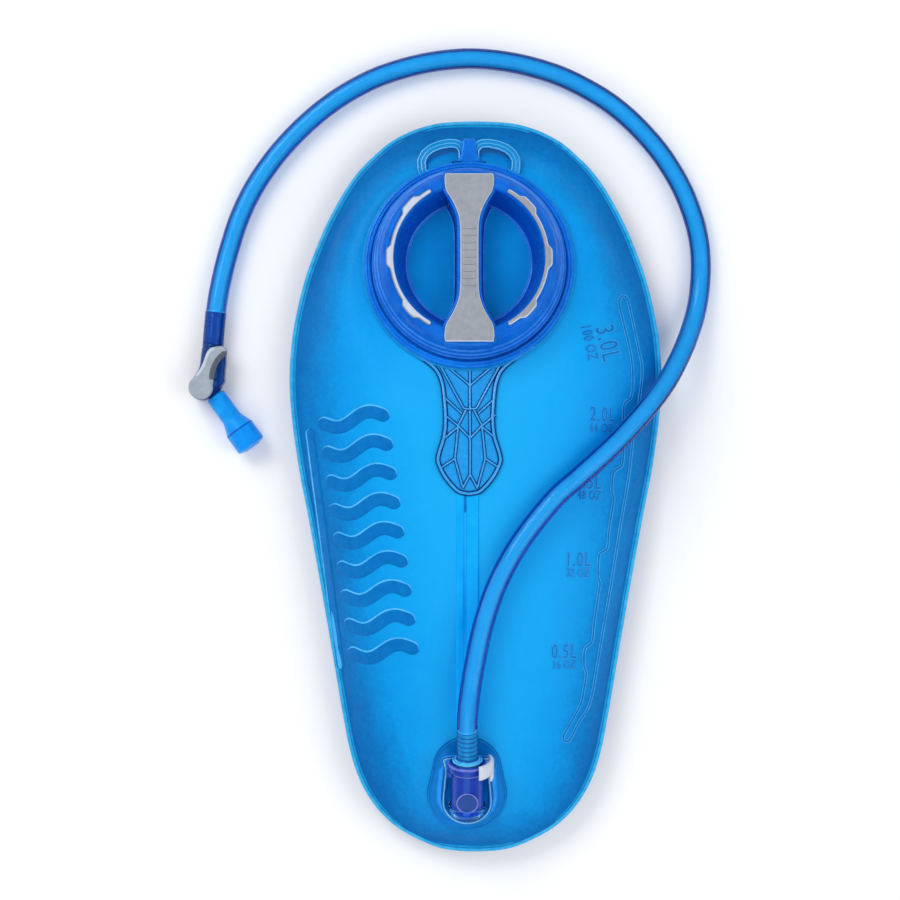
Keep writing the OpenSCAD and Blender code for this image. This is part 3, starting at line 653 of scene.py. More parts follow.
m_clear_port = clear_plastic("clear_port", (0.38, 0.82, 1.0, 1), (0.7, 0.92, 1.0, 1), (0.04, 0.6, 0.95, 1), 60)
m_web = soft_plastic("clear_web_panel", "#1c8fdc", "#2c9ee8", (0.08, 0.16), 300, 0.08, spec=0.35, blue=True)
m_web_rib_shade = soft_plastic("clear_web_painted_shade", "#03346c", "#05437e", (0.12, 0.2), 200, 0.05, spec=0.4, blue=True)
m_web_top = soft_plastic("clear_web_rib", "#2490dc", "#3aa2ea", (0.06, 0.12), 200, 0.05, spec=0.6)
m_clear_highlight = soft_plastic("clear_edge_painted_highlight", "#54b0e8", "#74c0ee", (0.06, 0.12), 200, 0.05, spec=0.7)
m_loop = soft_plastic("clear_loop_panel", "#0c86cc", "#1c96d8", (0.08, 0.16), 300, 0.08, spec=0.4, blue=True)
m_egg = soft_plastic("clear_port_panel", "#0471c2", "#0a7ece", (0.10, 0.18), 200, 0.05, spec=0.2, blue=True)
m_port_line_shade = soft_plastic("clear_port_painted_shade", "#024c90", "#055ba0", (0.12, 0.2), 200, 0.05, spec=0.4, blue=True)
m_cradle = soft_plastic("clear_cradle_skirt", "#0a86ea", "#1c9afa", (0.08, 0.16), 200, 0.05, spec=0.5, blue=True)
m_hose = clear_plastic("tube_clear", (0.80, 0.96, 1.0, 1), (0.86, 0.96, 1.0, 1), (0.0, 0.47, 0.80, 1), 400, (0.05, 0.12), ior=1.32, bump=0.04)
m_bore_glow = soft_plastic("tube_bore", "#46e0f4", "#5cecfc", (0.4, 0.5), 60, 0.05, spec=0.1)
# the bore glows faintly: painted light for light carried along the clear tube
m_bore_glow.set(Emission_Color=(0.10, 0.75, 0.85, 1.0), Emission_Strength=0.22)
m_bore_port = soft_plastic("tube_bore_on_plug", "#22c0dc", "#30cce6", (0.4, 0.5), 60, 0.05, spec=0.1)
m_bore_trough_shade = soft_plastic("tube_bore_trough_shade", "#0878b4", "#0c84c0", (0.4, 0.5), 60, 0.05, spec=0.1)
m_bore_dark = soft_plastic("tube_bore_on_valve", "#0450a0", "#065aac", (0.4, 0.5), 60, 0.05, spec=0.1)


def stations(path, marks):
    """Points of a polyline at given distances along it."""
    d = np.concatenate([[0], np.cumsum(np.linalg.norm(np.diff(path, axis=0), axis=1))])
    return np.stack([np.interp(marks, d, path[:, k]) for k in range(3)], axis=1)


NEAR_PORT, NEAR_VALVE, PITCH = 16.2, 18.4, 2.7
fine_route = spline(ROUTE, 16)
fine_len = float(np.sum(np.linalg.norm(np.diff(fine_route, axis=0), axis=1)))
marks = np.concatenate([np.arange(0, 20.1, 0.54), np.arange(22.5, fine_len - 22.0, 3.6), fine_len - 20.4 + np.arange(0, 20.401, 0.6)])


def hose():
    p = stations(fine_route, marks)
    n = len(p)
    d = marks
    rest = fine_len - d
    on_plug = 1 - sm((d - NEAR_PORT) / 1.1)
    on_valve = 1 - sm((rest - NEAR_VALVE) / 1.1)
    wave_p = 0.5 + 0.5 * np.cos(2 * math.pi * (d - 1.6) / PITCH)
    wave_v = 0.5 + 0.5 * np.cos(2 * math.pi * (rest - 1.4) / 2.4)
    outer = 5.88 + on_plug * (0.10 + 0.16 * wave_p) + on_valve * (0.16 + 0.2 * wave_v)
    inner = 3.15 + 1.3 * np.maximum(on_plug, on_valve)
    m = 32
    vo, fo = tube_mesh(p, outer, m)
    vi, fi = tube_mesh(p, inner, m)
    o = len(vo)
    faces = [q for q in fo] + [tuple(i + o for i in q[::-1]) for q in fi]
    kind = []
    for i in range(n - 1):
        mid = (d[i] + d[i + 1]) / 2
        if mid < NEAR_PORT:
            # over the barb's troughs the bore takes a darker colour: painted shade
            k = 3 if math.cos(2 * math.pi * (mid - 1.6) / PITCH) < -0.35 else 2
        elif fine_len - mid < NEAR_VALVE:
            k = 4
        else:
            k = 1
        kind += [k] * m
    mats = [0] * len(fo) + kind
    for base, rev in ((0, False), ((n - 1) * m, True)):
        for k in range(m):
            kk = (k + 1) % m
            q = (base + k, base + kk, o + base + kk, o + base + k)
            faces.append(q[::-1] if not rev else q)
            mats.append(0)
    return np.vstack([vo, vi]), faces, mats


hv, hf, hm = hose()
tube = make("drink_tube_soft", hv, hf, [m_hose.m, m_bore_glow.m, m_bore_port.m, m_bore_trough_shade.m, m_bore_dark.m], "drink_line", face_mat=hm)
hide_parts("drink_tube")


# ---------------------------------------------------------------- reservoir
def film_grid(step, ncol, zfun):
    """Rows along the welded outline, columns across it with the flat weld at both sides."""
    loop = resample(np.stack([DENSE_W, DENSE_Y], axis=1), step)
    rows = loop[1:-1]
    u = np.linspace(-1, 1, ncol)
    c = np.sign(u) * (1 - (1 - np.abs(u)) ** 1.25)
    fl = np.array([1.0, 0.9, 0.55, 0.2])
    pts = []
    for w, y in rows:
        wi = max(0.35 * w, w - SEAM_W)
        xs = np.concatenate([-(wi + (w - wi) * fl), c * wi, wi + (w - wi) * fl[::-1]])
        pts.append(np.stack([xs, np.full(len(xs), y)], axis=1))
    m = len(pts[0])
    p = np.vstack(pts)
    p = np.vstack([[0, -210], p, [0, 210]])
    z = zfun(p[:, 0], p[:, 1])
    v = np.column_stack([p, z])
    f = [(1 + a, 1 + b, 1 + c_, 1 + d) for a, b, c_, d in grid(len(rows), m)]
    f = [q[::-1] for q in f]
    last = len(v) - 1
    f += [(0, 2 + j, 1 + j) for j in range(m - 1)]
    base = 1 + (len(rows) - 1) * m
    f += [(last, base + j, base + j + 1) for j in range(m - 1)]
    return v, f


def film_piece(name, node, step, ncol, zfun, skin, hole, up):
    v, f = film_grid(step, ncol, zfun)
    keep, mat = [], []
    for q in f:
        cx = sum(v[i][0] for i in q) / len(q)
        cy = sum(v[i][1] for i in q) / len(q)
        if hole and (math.hypot(cx - CAP[0], cy - CAP[1]) < 45.6):
            continue
        keep.append(q if up else q[::-1])
        edge = abs(cx) > inner_w(cy) - 0.05 and abs(cy) < END_Y - 6
        mat.append(1 if edge else 0)
    o = make(name, v, keep, [skin.m, m_flange_mid.m], face_mat=mat)
    bm = bmesh.new()
    bm.from_mesh(o.data)
    bmesh.ops.delete(bm, geom=[q for q in bm.verts if not q.link_faces], context="VERTS")
    bm.to_mesh(o.data)
    bm.free()
    s = o.modifiers.new("thick", "SOLIDIFY")
    s.thickness = FILM_T * MM
    s.offset = -1
    s.use_rim = True
    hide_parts(node)
    return o


film_front = film_piece("film_front_skin", "front_film", 2.0, 117, skin_z, m_film, True, True)
film_back = film_piece("film_back_skin", "back_film", 2.6, 61, lambda x, y: back_z(x, y) + 0.0, m_back, False, False)


def inset_loop(d):
    p = resample(_loop_xy, 2.0, closed=True)
    return p - normals_2d(p) * d


_loop_xy = np.stack([_loop[:, 1], _loop[:, 0]], axis=1)
if area_sign(_loop_xy) < 0:
    _loop_xy = _loop_xy[::-1]
FLAT = SEAM_Z + FILM_T
# the welded edge as one ribbon: outer wall, bright bead, groove and a small inner ridge; the outer wall and the groove
# are painted in shade, the bead carries a painted highlight
WELD = [(0.10, -FILM_T * 2 + 0.05, 0), (-0.02, -0.9, 0), (0.0, -0.25, 0), (0.12, 0.12, 0), (0.42, 0.34, 1), (0.85, 0.44, 1), (1.35, 0.42, 1),
        (1.75, 0.28, 1), (1.95, 0.10, 2), (2.15, 0.06, 2), (2.35, 0.14, 3), (2.6, 0.34, 3), (2.9, 0.36, 3), (3.15, 0.22, 3), (3.4, 0.04, 3), (3.6, -0.30, 3)]
wl = resample(_loop_xy, 1.6, closed=True)
wn = normals_2d(wl)
nw, kw = len(wl), len(WELD)
dist_w = np.arange(nw) * 1.6
v = np.zeros((nw, kw, 3))
for j, (d_, h_, m_) in enumerate(WELD):
    q = wl - wn * d_
    lift_ = 0.05 * np.sin(dist_w / 3.1) + 0.03 * np.sin(dist_w / 1.7 + 1.0) if 0.3 < d_ < 3.2 else 0.0
    v[:, j, 0], v[:, j, 1] = q[:, 0], q[:, 1]
    v[:, j, 2] = FLAT + h_ + lift_
f = grid(nw, kw, close_u=True)
weld_mat = [WELD[j][2] if WELD[j][2] == WELD[j + 1][2] else max(WELD[j][2], WELD[j + 1][2]) for _ in range(nw) for j in range(kw - 1)]
v = v.reshape(-1, 3)
under = v.copy()
under[:, 2] = np.minimum(under[:, 2] - 0.3, FLAT - 0.2)
weld_faces = [q[::-1] for q in f]
weld_o = make("film_weld_edge", v, weld_faces, [m_flange_dark.m, m_weld_highlight.m, m_flange_dark.m, m_flange_mid.m], face_mat=weld_mat)
sol = weld_o.modifiers.new("thick", "SOLIDIFY")
sol.thickness = 0.12 * MM
sol.offset = -1

# weld strip of the centre baffle, on the film
strip_y = np.linspace(-2, -143, 142)
sec = [(-11.6, -0.5), (-11.2, 0.25), (-10.7, 0.62), (-9.0, 0.66), (-7.5, 0.66), (-7.1, 0.58), (-6.8, 0.28), (-5.7, 0.28), (-5.4, 0.6), (-5.0, 0.74), (-2.2, 0.82), (0.4, 0.9), (1.0, 0.8), (1.3, 0.45), (1.5, -0.5)]
v = []
for y in strip_y:
    fade = float(sm((y + 144) / 6))
    for x, h in sec:
        v.append((x, y, float(skin_z(x, y)) + (h * fade if h > 0 else -0.5)))
f = grid(len(strip_y), len(sec), close_v=True)
# the faces of the groove take the darker colour: painted shade in the groove
strip_mat = [1 if sec[j][0] >= -7.2 and sec[(j + 1) % len(sec)][0] <= -5.3 and j < len(sec) - 1 else 0 for _ in range(len(strip_y) - 1) for j in range(len(sec))]
f += [tuple(range(len(sec))), tuple((len(strip_y) - 1) * len(sec) + j for j in range(len(sec)))[::-1]]
strip = make("baffle_weld_strip", v, f, [m_strip.m, m_strip_groove_shade.m], face_mat=strip_mat + [0, 0])

# the baffle itself, between the films, seen through the neck
ys = np.linspace(-137, -9, 33)
sec = [(-6, 0, 0), (6, 0, 0), (6, 0, 0.5), (0.6, 0, 0.6), (0.4, 0.1, 0.8), (0.4, 0.9, -0.8), (0.6, 1, -0.6), (6, 1, -0.5), (6, 1, 0), (-6, 1, 0), (-6, 1, -0.5), (-0.6, 1, -0.6), (-0.4, 0.9, -0.8), (-0.4, 0.1, 0.8), (-0.6, 0, 0.6), (-6, 0, 0.5)]
v = []
for y in ys:
    top = float(front_z(PORT[0], y)) - FILM_T - 1.6
    bow = 1.2 * math.sin((y + 137) / 128 * math.pi * 3)
    for x, t, dz in sec:
        z0 = FILM_T + 0.3
        v.append((PORT[0] + x + bow * math.sin(math.pi * t), y, z0 + (top - z0) * t + dz))
f = grid(len(ys), len(sec), close_v=True)
baffle = make("baffle_panel", v, f + [tuple(range(len(sec)))[::-1], tuple((len(ys) - 1) * len(sec) + j for j in range(len(sec)))], m_strip.m)
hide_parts("center_baffle")

# raised graduation: a closed strip with a notch at each mark, numbers and units
scale_path = [(81.4, 104.4), (82.3, 107.6), (84.2, 108.9), (86.2, 107.6), (87.4, 104.4), (92.7, 80.2), (95.1, 67.3), (93.7, 51.9),
              (89.5, 25.6), (87.2, 5.6), (83.5, -16.7), (80.1, -37.2), (76.7, -58.9), (72.7, -81.7), (68.7, -105.8), (66.8, -117),
              (64.1, -126.3), (58.8, -134.0), (54.8, -141.6), (52.6, -144.6), (50.4, -144.2), (49.8, -141.2), (54.1, -133.6),
              (59.6, -123.6), (61.4, -115.5), (62.7, -106.4), (61.4, -101.3), (61.4, -93.5), (62.8, -90.6), (66.1, -87.6),
              (67.3, -76.7), (69.4, -61.9), (70.5, -54.6), (69.3, -51.0), (69.6, -40.0), (70.9, -37.2), (74.6, -34.6),
              (75.6, -24.4), (77.4, -13.2), (78.3, -6.4), (77.1, -3.0), (77.6, 6.6), (79.4, 9.8), (83.1, 12.6),
              (84.1, 22.4), (85.1, 33.4), (83.8, 36.2), (84.0, 45.4), (85.2, 48.4), (88.4, 51.2), (89.5, 60.2), (89.1, 69.2), (87.8, 78.0), (84.6, 91)]
SCALE_SHAPE = [(-0.5, -1), (-0.47, 0.5), (-0.40, 0.95), (-0.30, 0.95), (-0.2, 0.45), (0.2, 0.45), (0.30, 0.95), (0.40, 0.95), (0.47, 0.5), (0.5, -1)]
scale_line = bead(spline(scale_path, 6, closed=True), 1.9, 0.5, closed=True, shape=SCALE_SHAPE, step=0.9)
scale_parts = [scale_line]
# crests and outer flanks of the graduation strip take the lighter colour: painted highlight
scale_mats = [1 if (i % 10) in (1, 2, 6, 7) else 0 for i in range(len(scale_line[1]))]


def raised_text(body, centre, height, angle, squeeze=0.66):
    """Generic numbers and units as raised, bevelled characters laid on the film."""
    cu = bpy.data.curves.new("mark", "FONT")
    cu.body = body
    cu.align_x, cu.align_y = "CENTER", "CENTER"
    cu.size = 1.0
    cu.space_character = 1.16
    cu.space_word = 0.8
    cu.resolution_u = 3
    cu.offset = 0.012
    cu.extrude = 0.02
    cu.bevel_depth = 0.022
    cu.bevel_resolution = 1
    ob = bpy.data.objects.new("mark", cu)
    bpy.context.scene.collection.objects.link(ob)
    dg = bpy.context.evaluated_depsgraph_get()
    me = bpy.data.meshes.new_from_object(ob.evaluated_get(dg))
    co = np.array([x.co[:] for x in me.vertices])
    faces = [tuple(p.vertices) for p in me.polygons]
    nz = [abs(p.normal.z) for p in me.polygons]
    bpy.data.objects.remove(ob)
    bpy.data.meshes.remove(me)
    k = height / 0.7
    c, s_ = math.cos(angle), math.sin(angle)
    x, y = co[:, 0] * k * squeeze, co[:, 1] * k
    px = centre[0] + x * c - y * s_
    py = centre[1] + x * s_ + y * c
    top = 0.042
    h = np.where(co[:, 2] < 0, -0.3, 0.14 + 0.36 * co[:, 2] / top)
    # flat tops keep the relief colour, the bevels and sides take the lighter colour: painted highlight
    return (np.column_stack([px, py, skin_z(px, py) + h]), faces), [0 if q > 0.98 else 1 for q in nz]


tilt = math.radians(-2)
for body, at, h, ang in [("3.0L", (74.1, 81.5), 11.0, math.radians(-76)), ("100 OZ", (63.6, 81.8), 6.0, math.radians(-78)),
                         ("2.0L", (71.3, 40.8), 8.0, tilt), ("64 OZ", (70.7, 33.4), 4.8, tilt),
                         ("1.5L", (63.5, 2.6), 8.0, tilt), ("48 OZ", (64.0, -4.8), 4.8, tilt),
                         ("1.0L", (57.4, -41.0), 8.0, tilt), ("32 OZ", (57.5, -48.4), 4.8, tilt),
                         ("0.5L", (49.6, -93.0), 8.0, tilt), ("16 OZ", (49.7, -100.4), 4.8, tilt)]:
    part_, mats_ = raised_text(body, at, h, ang)
    scale_parts.append(part_)
    scale_mats += mats_
v, f = join(scale_parts)
scale_o = make("film_graduation", v, f, [m_emboss.m, m_relief_highlight.m], smooth=True, face_mat=scale_mats)


# a plain wave motif in relief, beside a long bar
def tilted(x, y):
    """Motif coordinates to the film: y runs down a line that leans with the side of the reservoir."""
    t = math.radians(7.2)
    return (-61 + x * math.cos(t) - y * math.sin(t), -27 + x * math.sin(t) + y * math.cos(t))


def plateau(centre, across, thick, lift_=0.5):
    """A raised band along a line: flat top, bevelled edges, rounded ends, following the film."""
    c_ = resample(centre, 1.0)
    n_ = normals_2d(c_, closed=False)
    d_ = np.minimum(np.arange(len(c_)), np.arange(len(c_))[::-1]) * 1.0
    r_ = thick / 2
    e_ = np.clip(d_ / r_, 0, 1)
    half_t = r_ * np.sqrt(np.maximum(0.04, 1 - (1 - e_) ** 2))
    sec_ = [(-1.0, -1, 0.0), (-1.0, 0.35, 0.0), (-1.0, 0.85, 0.35), (-1.0, 1.0, 0.95), (-0.4, 1.0, 0.95), (0.4, 1.0, 0.95), (1.0, 1.0, 0.95), (1.0, 0.85, 0.35), (1.0, 0.35, 0.0), (1.0, -1, 0.0)]
    v_ = np.zeros((len(c_), len(sec_), 3))
    for j, (s_, h_, in_) in enumerate(sec_):
        off = s_ * np.maximum(0.1, half_t - (in_ if abs(s_) == 1 else in_))
        q = c_ + n_ * off[:, None]
        v_[:, j, 0], v_[:, j, 1] = q[:, 0], q[:, 1]
        v_[:, j, 2] = skin_z(q[:, 0], q[:, 1]) + (lift_ * h_ if h_ > 0 else -0.35)
    k_ = len(sec_)
    f_ = grid(len(c_), k_, close_v=True)
    f_ += [tuple(range(k_)), tuple((len(c_) - 1) * k_ + j for j in range(k_))[::-1]]
    # tops keep the relief colour; the flanks listed in across take painted shade, the other flanks a painted highlight
    m_ = [0 if 3 <= (i % k_) <= 5 else (2 if (i % k_) in across else 1) for i in range((len(c_) - 1) * k_)] + [1, 1]
    return (v_.reshape(-1, 3), f_), m_


motif, motif_mats = [], []
for i in range(9):
    line = [tilted(x, 66 - i * 16.5 + 3.2 * math.sin(x / 17.5 * math.pi)) for x in np.linspace(-20.5, 20.5, 42)]
    part_, mats_ = plateau(np.array(line), (6, 7, 8), 8.0)
    motif.append(part_)
    motif_mats += mats_
part_, mats_ = plateau(np.array([tilted(-26.5, 64), tilted(-26.5, -76)]), (0, 1, 2), 5.4)
motif.append(part_)
motif_mats += mats_
v, f = join(motif)
motif_o = make("film_wave_motif", v, f, [m_emboss.m, m_relief_highlight.m, m_relief_shade.m], face_mat=motif_mats)

# ---------------------------------------------------------------- clear moulding: ring, hanging loops, leaf-veined web
ring_prof = fillet([(45.6, 0.35), (60.0, 0.35), (60.4, 1.3), (60.0, 2.45), (45.6, 2.45)], [0, 0.2, 0.6, 0.5, 0])
v, f = lathe(ring_prof, 160, AT_CAP)
parts = [(v, f)]
slot_pts = [(24.0, 55), (24.2, 60), (22.6, 63), (20, 65.1), (16, 66.8), (11, 67.8), (7.4, 67.5), (6.0, 65.6), (5.9, 60), (5.9, 55)]


def loop_band(pts, sgn):
    p = spline(fillet(np.array(pts), 1.2, 3), 3, closed=True)
    p = resample(p, 0.8, closed=True)
    if area_sign(p) < 0:
        p = p[::-1]
    nr = normals_2d(p)
    sec = [(0.0, 0.6), (0.1, 2.3), (0.35, 2.75), (0.75, 2.8), (1.05, 2.45), (1.35, 2.15), (1.9, 2.15), (2.15, 2.5), (2.5, 2.6), (2.85, 2.45), (3.1, 2.1),
           (3.9, 2.1), (4.2, 2.5), (4.6, 2.7), (5.0, 2.55), (5.25, 2.0), (5.3, 0.7), (5.0, 0.4), (0.3, 0.4)]
    v = []
    for i in range(len(p)):
        for o, h in sec:
            q = p[i] + nr[i] * o
            v.append((sgn * q[0], q[1], h))
    f = grid(len(p), len(sec), close_u=True, close_v=True)
    if sgn > 0:
        f = [q[::-1] for q in f]
    # crests of the rim beads take the lighter colour: painted highlight
    light = [1 if j in (1, 2, 8, 13) else 0 for _ in range(len(p)) for j in range(len(sec))]
    return place(AT_CAP, np.array(v)), f, light


loop_mats = [0] * len(parts[0][1])
for sgn in (1, -1):
    lv_, lf_, lm_ = loop_band(slot_pts, sgn)
    parts.append((lv_, lf_))
    loop_mats += lm_
v, f = join(parts)
loops = make("clear_ring_and_loops", v, f, [m_loop.m, m_clear_highlight.m], face_mat=loop_mats)
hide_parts("handle_moulding")

WEB = [(78, 37), (75, 32), (71, 26), (67, 21), (63, 18), (57, 16), (49, 15), (38, 14.4), (29, 15.2), (21, 17.6),
       (15.5, 18.7), (11, 17.4), (5.5, 14.5), (0, 10.1), (-3.5, 5.8), (-4.7, 0)]
web_d = spline(WEB, 8)
web_y, web_w = web_d[:, 0], np.maximum(0, web_d[:, 1])


def web_top(x, y):
    return front_z(x, y) + 1.25


rows = resample(np.stack([web_w, web_y], axis=1), 1.1)[:-1]
u = np.linspace(-1, 1, 41)
sec_u = np.sign(u) * (1 - (1 - np.abs(u)) ** 1.4)
nrow, ncol = len(rows), len(u)
v_top = [(CAP[0] + c * w, y, float(front_z(CAP[0] + c * w, y)) + 1.15 + 0.05 * math.sin(31 * y * 0.1) * math.sin(2.9 * c * w))
         for w, y in rows for c in sec_u]
v_bot = [(x, y, float(front_z(x, y)) + 0.45) for x, y, z in v_top]
k = nrow * ncol
f = grid(nrow, ncol)
faces = [q for q in f] + [tuple(i + k for i in q[::-1]) for q in f]
rim = list(range(ncol)) + [j * ncol + ncol - 1 for j in range(1, nrow)] + [(nrow - 1) * ncol + i for i in range(ncol - 2, -1, -1)] + [j * ncol for j in range(nrow - 2, 0, -1)]
for i in range(len(rim)):
    a, b = rim[i], rim[(i + 1) % len(rim)]
    faces.append((a, a + k, b + k, b))
web_parts = [(np.array(v_top + v_bot), faces)]
# the panel's rim faces take painted shade
web_mats = [0] * (2 * len(f)) + [1] * len(rim)
side = np.array([(CAP[0] + w, y) for w, y in zip(web_w, web_y)])
left = np.array([(CAP[0] - w, y) for w, y in zip(web_w, web_y)])[::-1]
rim_path = np.vstack([side, left[1:]])
nr = normals_2d(rim_path, closed=False)
# a rib with sloping sides; segments 1 and 2 on each side are the flanks
rib_shape = [(-0.5, -1), (-0.49, 0.02), (-0.30, 0.55), (-0.21, 0.93), (-0.15, 1.0), (0.15, 1.0), (0.21, 0.93), (0.30, 0.55), (0.49, 0.02), (0.5, -1)]


def web_rib(path, width=2.5, height=0.95, closed=False):
    rv_, rf_ = bead(path, width, height, closed=closed, surface=web_top, sink=0.5, step=0.7, taper=False, shape=rib_shape)
    k_ = len(rib_shape)
    # rib sides take painted shade for the dark refraction at the rib walls, rib tops the rib colour
    web_mats.extend([1 if (i % k_) in (0, 1, 2, 6, 7, 8, 9) else 2 for i in range(len(rf_))])
    return rv_, rf_


sgn_in = -1.0 if nr[0][0] > 0 else 1.0
web_parts.append(web_rib(rim_path + nr * (sgn_in * 1.25), 3.1, 1.25))


def both(path):
    return [path, [(2 * -3.5 - x, y) for x, y in path]]


VEINS = [[(-3.5, 70), (-3.5, 43.5)], [(-3.5, 27.6), (-3.5, 7.4)], [(-3.5, 43.2), (-3.5, 28)]]
for path in ([(-16.8, 68.6), (-3.5, 57.2)], [(-20.8, 69.6), (-7.0, 44.2)], [(-5.6, 43.6), (-10.2, 34.6), (-3.5, 27.6)],
             [(-17.6, 50.2), (-8.0, 41.4)], [(-17.6, 40.6), (-10.2, 34.6)], [(-18.0, 27.4), (-10.2, 34.0)],
             [(-10.2, 33.4), (-12.0, 16.2), (-7.7, 0.4)], [(-19.6, 11.2), (-12.0, 16.2)], [(-7.7, -0.4), (-3.5, 7.4)],
             [(-7.6, 44.4), (-3.5, 44.0)]):
    VEINS += both(path)
for path in VEINS:
    web_parts.append(web_rib(resample(path, 0.7), 2.1, 0.85))
v, f = join(web_parts)
web = make("clear_web", v, f, [m_web.m, m_web_rib_shade.m, m_web_top.m], face_mat=web_mats)
bm = bmesh.new()
bm.from_mesh(web.data)
bmesh.ops.recalc_face_normals(bm, faces=bm.faces)
bm.to_mesh(web.data)
bm.free()

# ---------------------------------------------------------------- collar
neck = fillet([(NECK_R, -5), (45, -5), (45, 2.8), (58.6, 2.8), (59.0, 3.6), (58.9, 5.3), (58.3, 6.25), (57.5, 6.35), (57.0, 5.9), (56.6, 6.2), (55.9, 6.2), (55.3, 5.8), (55.15, 4.8),
               (45, 4.8), (45, NECK_H - 0.8), (44.2, NECK_H), (42.2, NECK_H), (NECK_R, NECK_H - 0.7)],
              [0.3, 0.3, 0.4, 0.3, 0.5, 0.5, 0.5, 0.25, 0.25, 0.25, 0.3, 0.2, 0.3, 0.5, 0.3, 0.3, 0.3, 0.3])


def ridge(r_root, r_tip, z0, a0, sweep, base, tip, lead=12.0):
    n = int(sweep / 4)
    v = []
    for i in range(n + 1):
        t = i / n
        a = math.radians(a0 + sweep * t)
        z = z0 + lead * sweep * t / 360
        e = min(1, 0.1 + 8 * min(t, 1 - t))
        rt = r_root + (r_tip - r_root) * e
        rm = r_root + (r_tip - r_root) * e * 0.85
        for r, dz in ((r_root, -base), (rm, -tip * 1.3), (rt, -tip * 0.6), (rt, tip * 0.6), (rm, tip * 1.3), (r_root, base)):
            v.append((r * math.cos(a), r * math.sin(a), z + dz))
    f = grid(n + 1, 6, close_v=True)
    f += [tuple(range(6)), tuple(n * 6 + j for j in range(6))[::-1]]
    if r_tip > r_root:
        f = [q[::-1] for q in f]
    return v, f


col_parts = [lathe(neck, 160, AT_CAP)]
for i in range(3):
    v, f = ridge(44.7, 47.9, 8.5, 120 * i, 150, 0.95, 0.5)
    col_parts.append((place(AT_CAP, v), f))
spine_right = spline([(10.4, 57.0), (7.4, 58.7), (5.6, 61.2), (4.5, 64.2), (4.1, 67.2), (4.0, 70.6), (3.0, 72.3)], 5)
spine = [tuple(q) for q in spine_right] + [(-x, y) for x, y in spine_right[::-1]]
col_parts.append(plate(resample(spine, 0.8, closed=True), round_edge(2.0, 5.4, 1.1), AT_CAP))
v, f = join(col_parts)
collar = make("neck_collar", v, f, m_collar.m)
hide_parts("fill_collar")

# ---------------------------------------------------------------- screw cap
prof = [(0, 3.8), (36.4, 3.8), (38.6, 6), (40.7, 14.5), (41.1, 18), (48.7, 18), (48.7, 5.4), (54, 5.4), (54.5, 6), (54.5, 9.4), (53.6, 10),
        (53.3, 12.8), (52.4, 13.6), (51.8, 16.6), (50.8, 17.5), (50, 20.4), (48.4, 23.4), (46.2, 25), (41.8, 25), (40.8, 23.4), (39.2, 16),
        (37, 9), (35.8, 7.2), (34.4, 6.6), (0, 6.6)]
rad = [0, 0.6, 0.6, 0.8, 0.3, 0.3, 0.3, 0.3, 0.4, 0.5, 0.3, 0.5, 0.4, 0.6, 0.5, 1.2, 1.2, 0.9, 0.7, 0.9, 3.0, 1.5, 0.8, 0.8, 0]
cap_prof = fillet(prof, rad, 4)
v, f = lathe(cap_prof, 160, AT_CAP)
floor_idx = []
inv = np.array(AT_CAP.inverted())
vl = v @ inv[:3, :3].T + inv[:3, 3]
# faces sorted by place: recess floor (1), painted highlight lines at the floor's edge and on the skirt's steps (3),
# painted shade on the recess walls and the skirt's foot (2), the rest plain (0)
cap_mat = []
for q in f:
    c = vl[list(q)].mean(axis=0)
    r_, z_ = math.hypot(c[0], c[1]), c[2]
    if r_ < 34.4 and z_ > 6.4:
        cap_mat.append(1)
    elif r_ < 35.6 and 6.4 < z_ < 7.3:
        cap_mat.append(3)
    elif r_ < 40.9 and 6.4 < z_ < 23.0:
        cap_mat.append(2)
    elif (51.2 < r_ < 52.0 and 16.0 < z_ < 17.6) or (52.6 < r_ < 53.5 and 12.7 < z_ < 13.7) or (r_ > 54.0 and 9.2 < z_ < 10.1):
        cap_mat.append(3)
    elif r_ > 53.6 and z_ < 9.2:
        cap_mat.append(2)
    else:
        cap_mat.append(0)
BAR_HALF = [(13.3, 47.2), (13.7, 44.5), (13.5, 40.5), (12.6, 37), (11, 34.4), (9.4, 31.6), (8, 28.9), (6.9, 26.1), (6, 23.4), (5.5, 20.6), (5.1, 15), (5, 0)]
_bar = np.array([(h, y) for h, y in BAR_HALF] + [(h, -y) for h, y in BAR_HALF[-2::-1]])[::-1]
_bs = spline(_bar, 6)
_bo = np.argsort(_bs[:, 1])


def bar_half(y):
    return np.interp(y, _bs[_bo, 1], _bs[_bo, 0])


ARCH_R, ARCH_Z = 700.0, 25.7


def arch(y):
    return ARCH_Z - ARCH_R + math.sqrt(ARCH_R ** 2 - y * y)


def bar_solid(ys, grow, z_base, z_top, edge, draft=0.0, half=None):
    """A bar along Y: hourglass in plan, arched on top, with rounded top edges and ends."""
    v = []
    n = len(ys)
    y_lo, y_hi = ys[0], ys[-1]
    nseg = 5
    k = None
    for y in ys:
        hw = float(half(y) if half else bar_half(y)) + grow
        t = z_top(y)
        e = min(y - y_lo, y_hi - y)
        drop = edge * (1 - math.sqrt(max(0, 1 - (1 - min(1, e / edge)) ** 2))) if edge > 0 else 0
        pull = edge * 0.9 * (1 - math.sqrt(max(0, 1 - (1 - min(1, e / edge)) ** 2)))
        hw -= pull
        t -= drop
        sec = [(-hw - draft, z_base), (-hw - draft * 0.35, z_base + (t - z_base) * 0.6)]
        for j in range(nseg + 1):
            a = math.pi / 2 * j / nseg
            sec.append((-hw + edge * (1 - math.cos(a)), t - edge * (1 - math.sin(a))))
        sec += [(-hw * 0.5, t + 0.02), (0, t + 0.03)]
        sec = sec + [(-x, z) for x, z in sec[-2::-1]]
        k = len(sec)
        v += [(x, y, z) for x, z in sec]
    f = grid(n, k, close_v=True)
    f += [tuple(range(k)), tuple((n - 1) * k + j for j in range(k))[::-1]]
    return v, [q[::-1] for q in f]


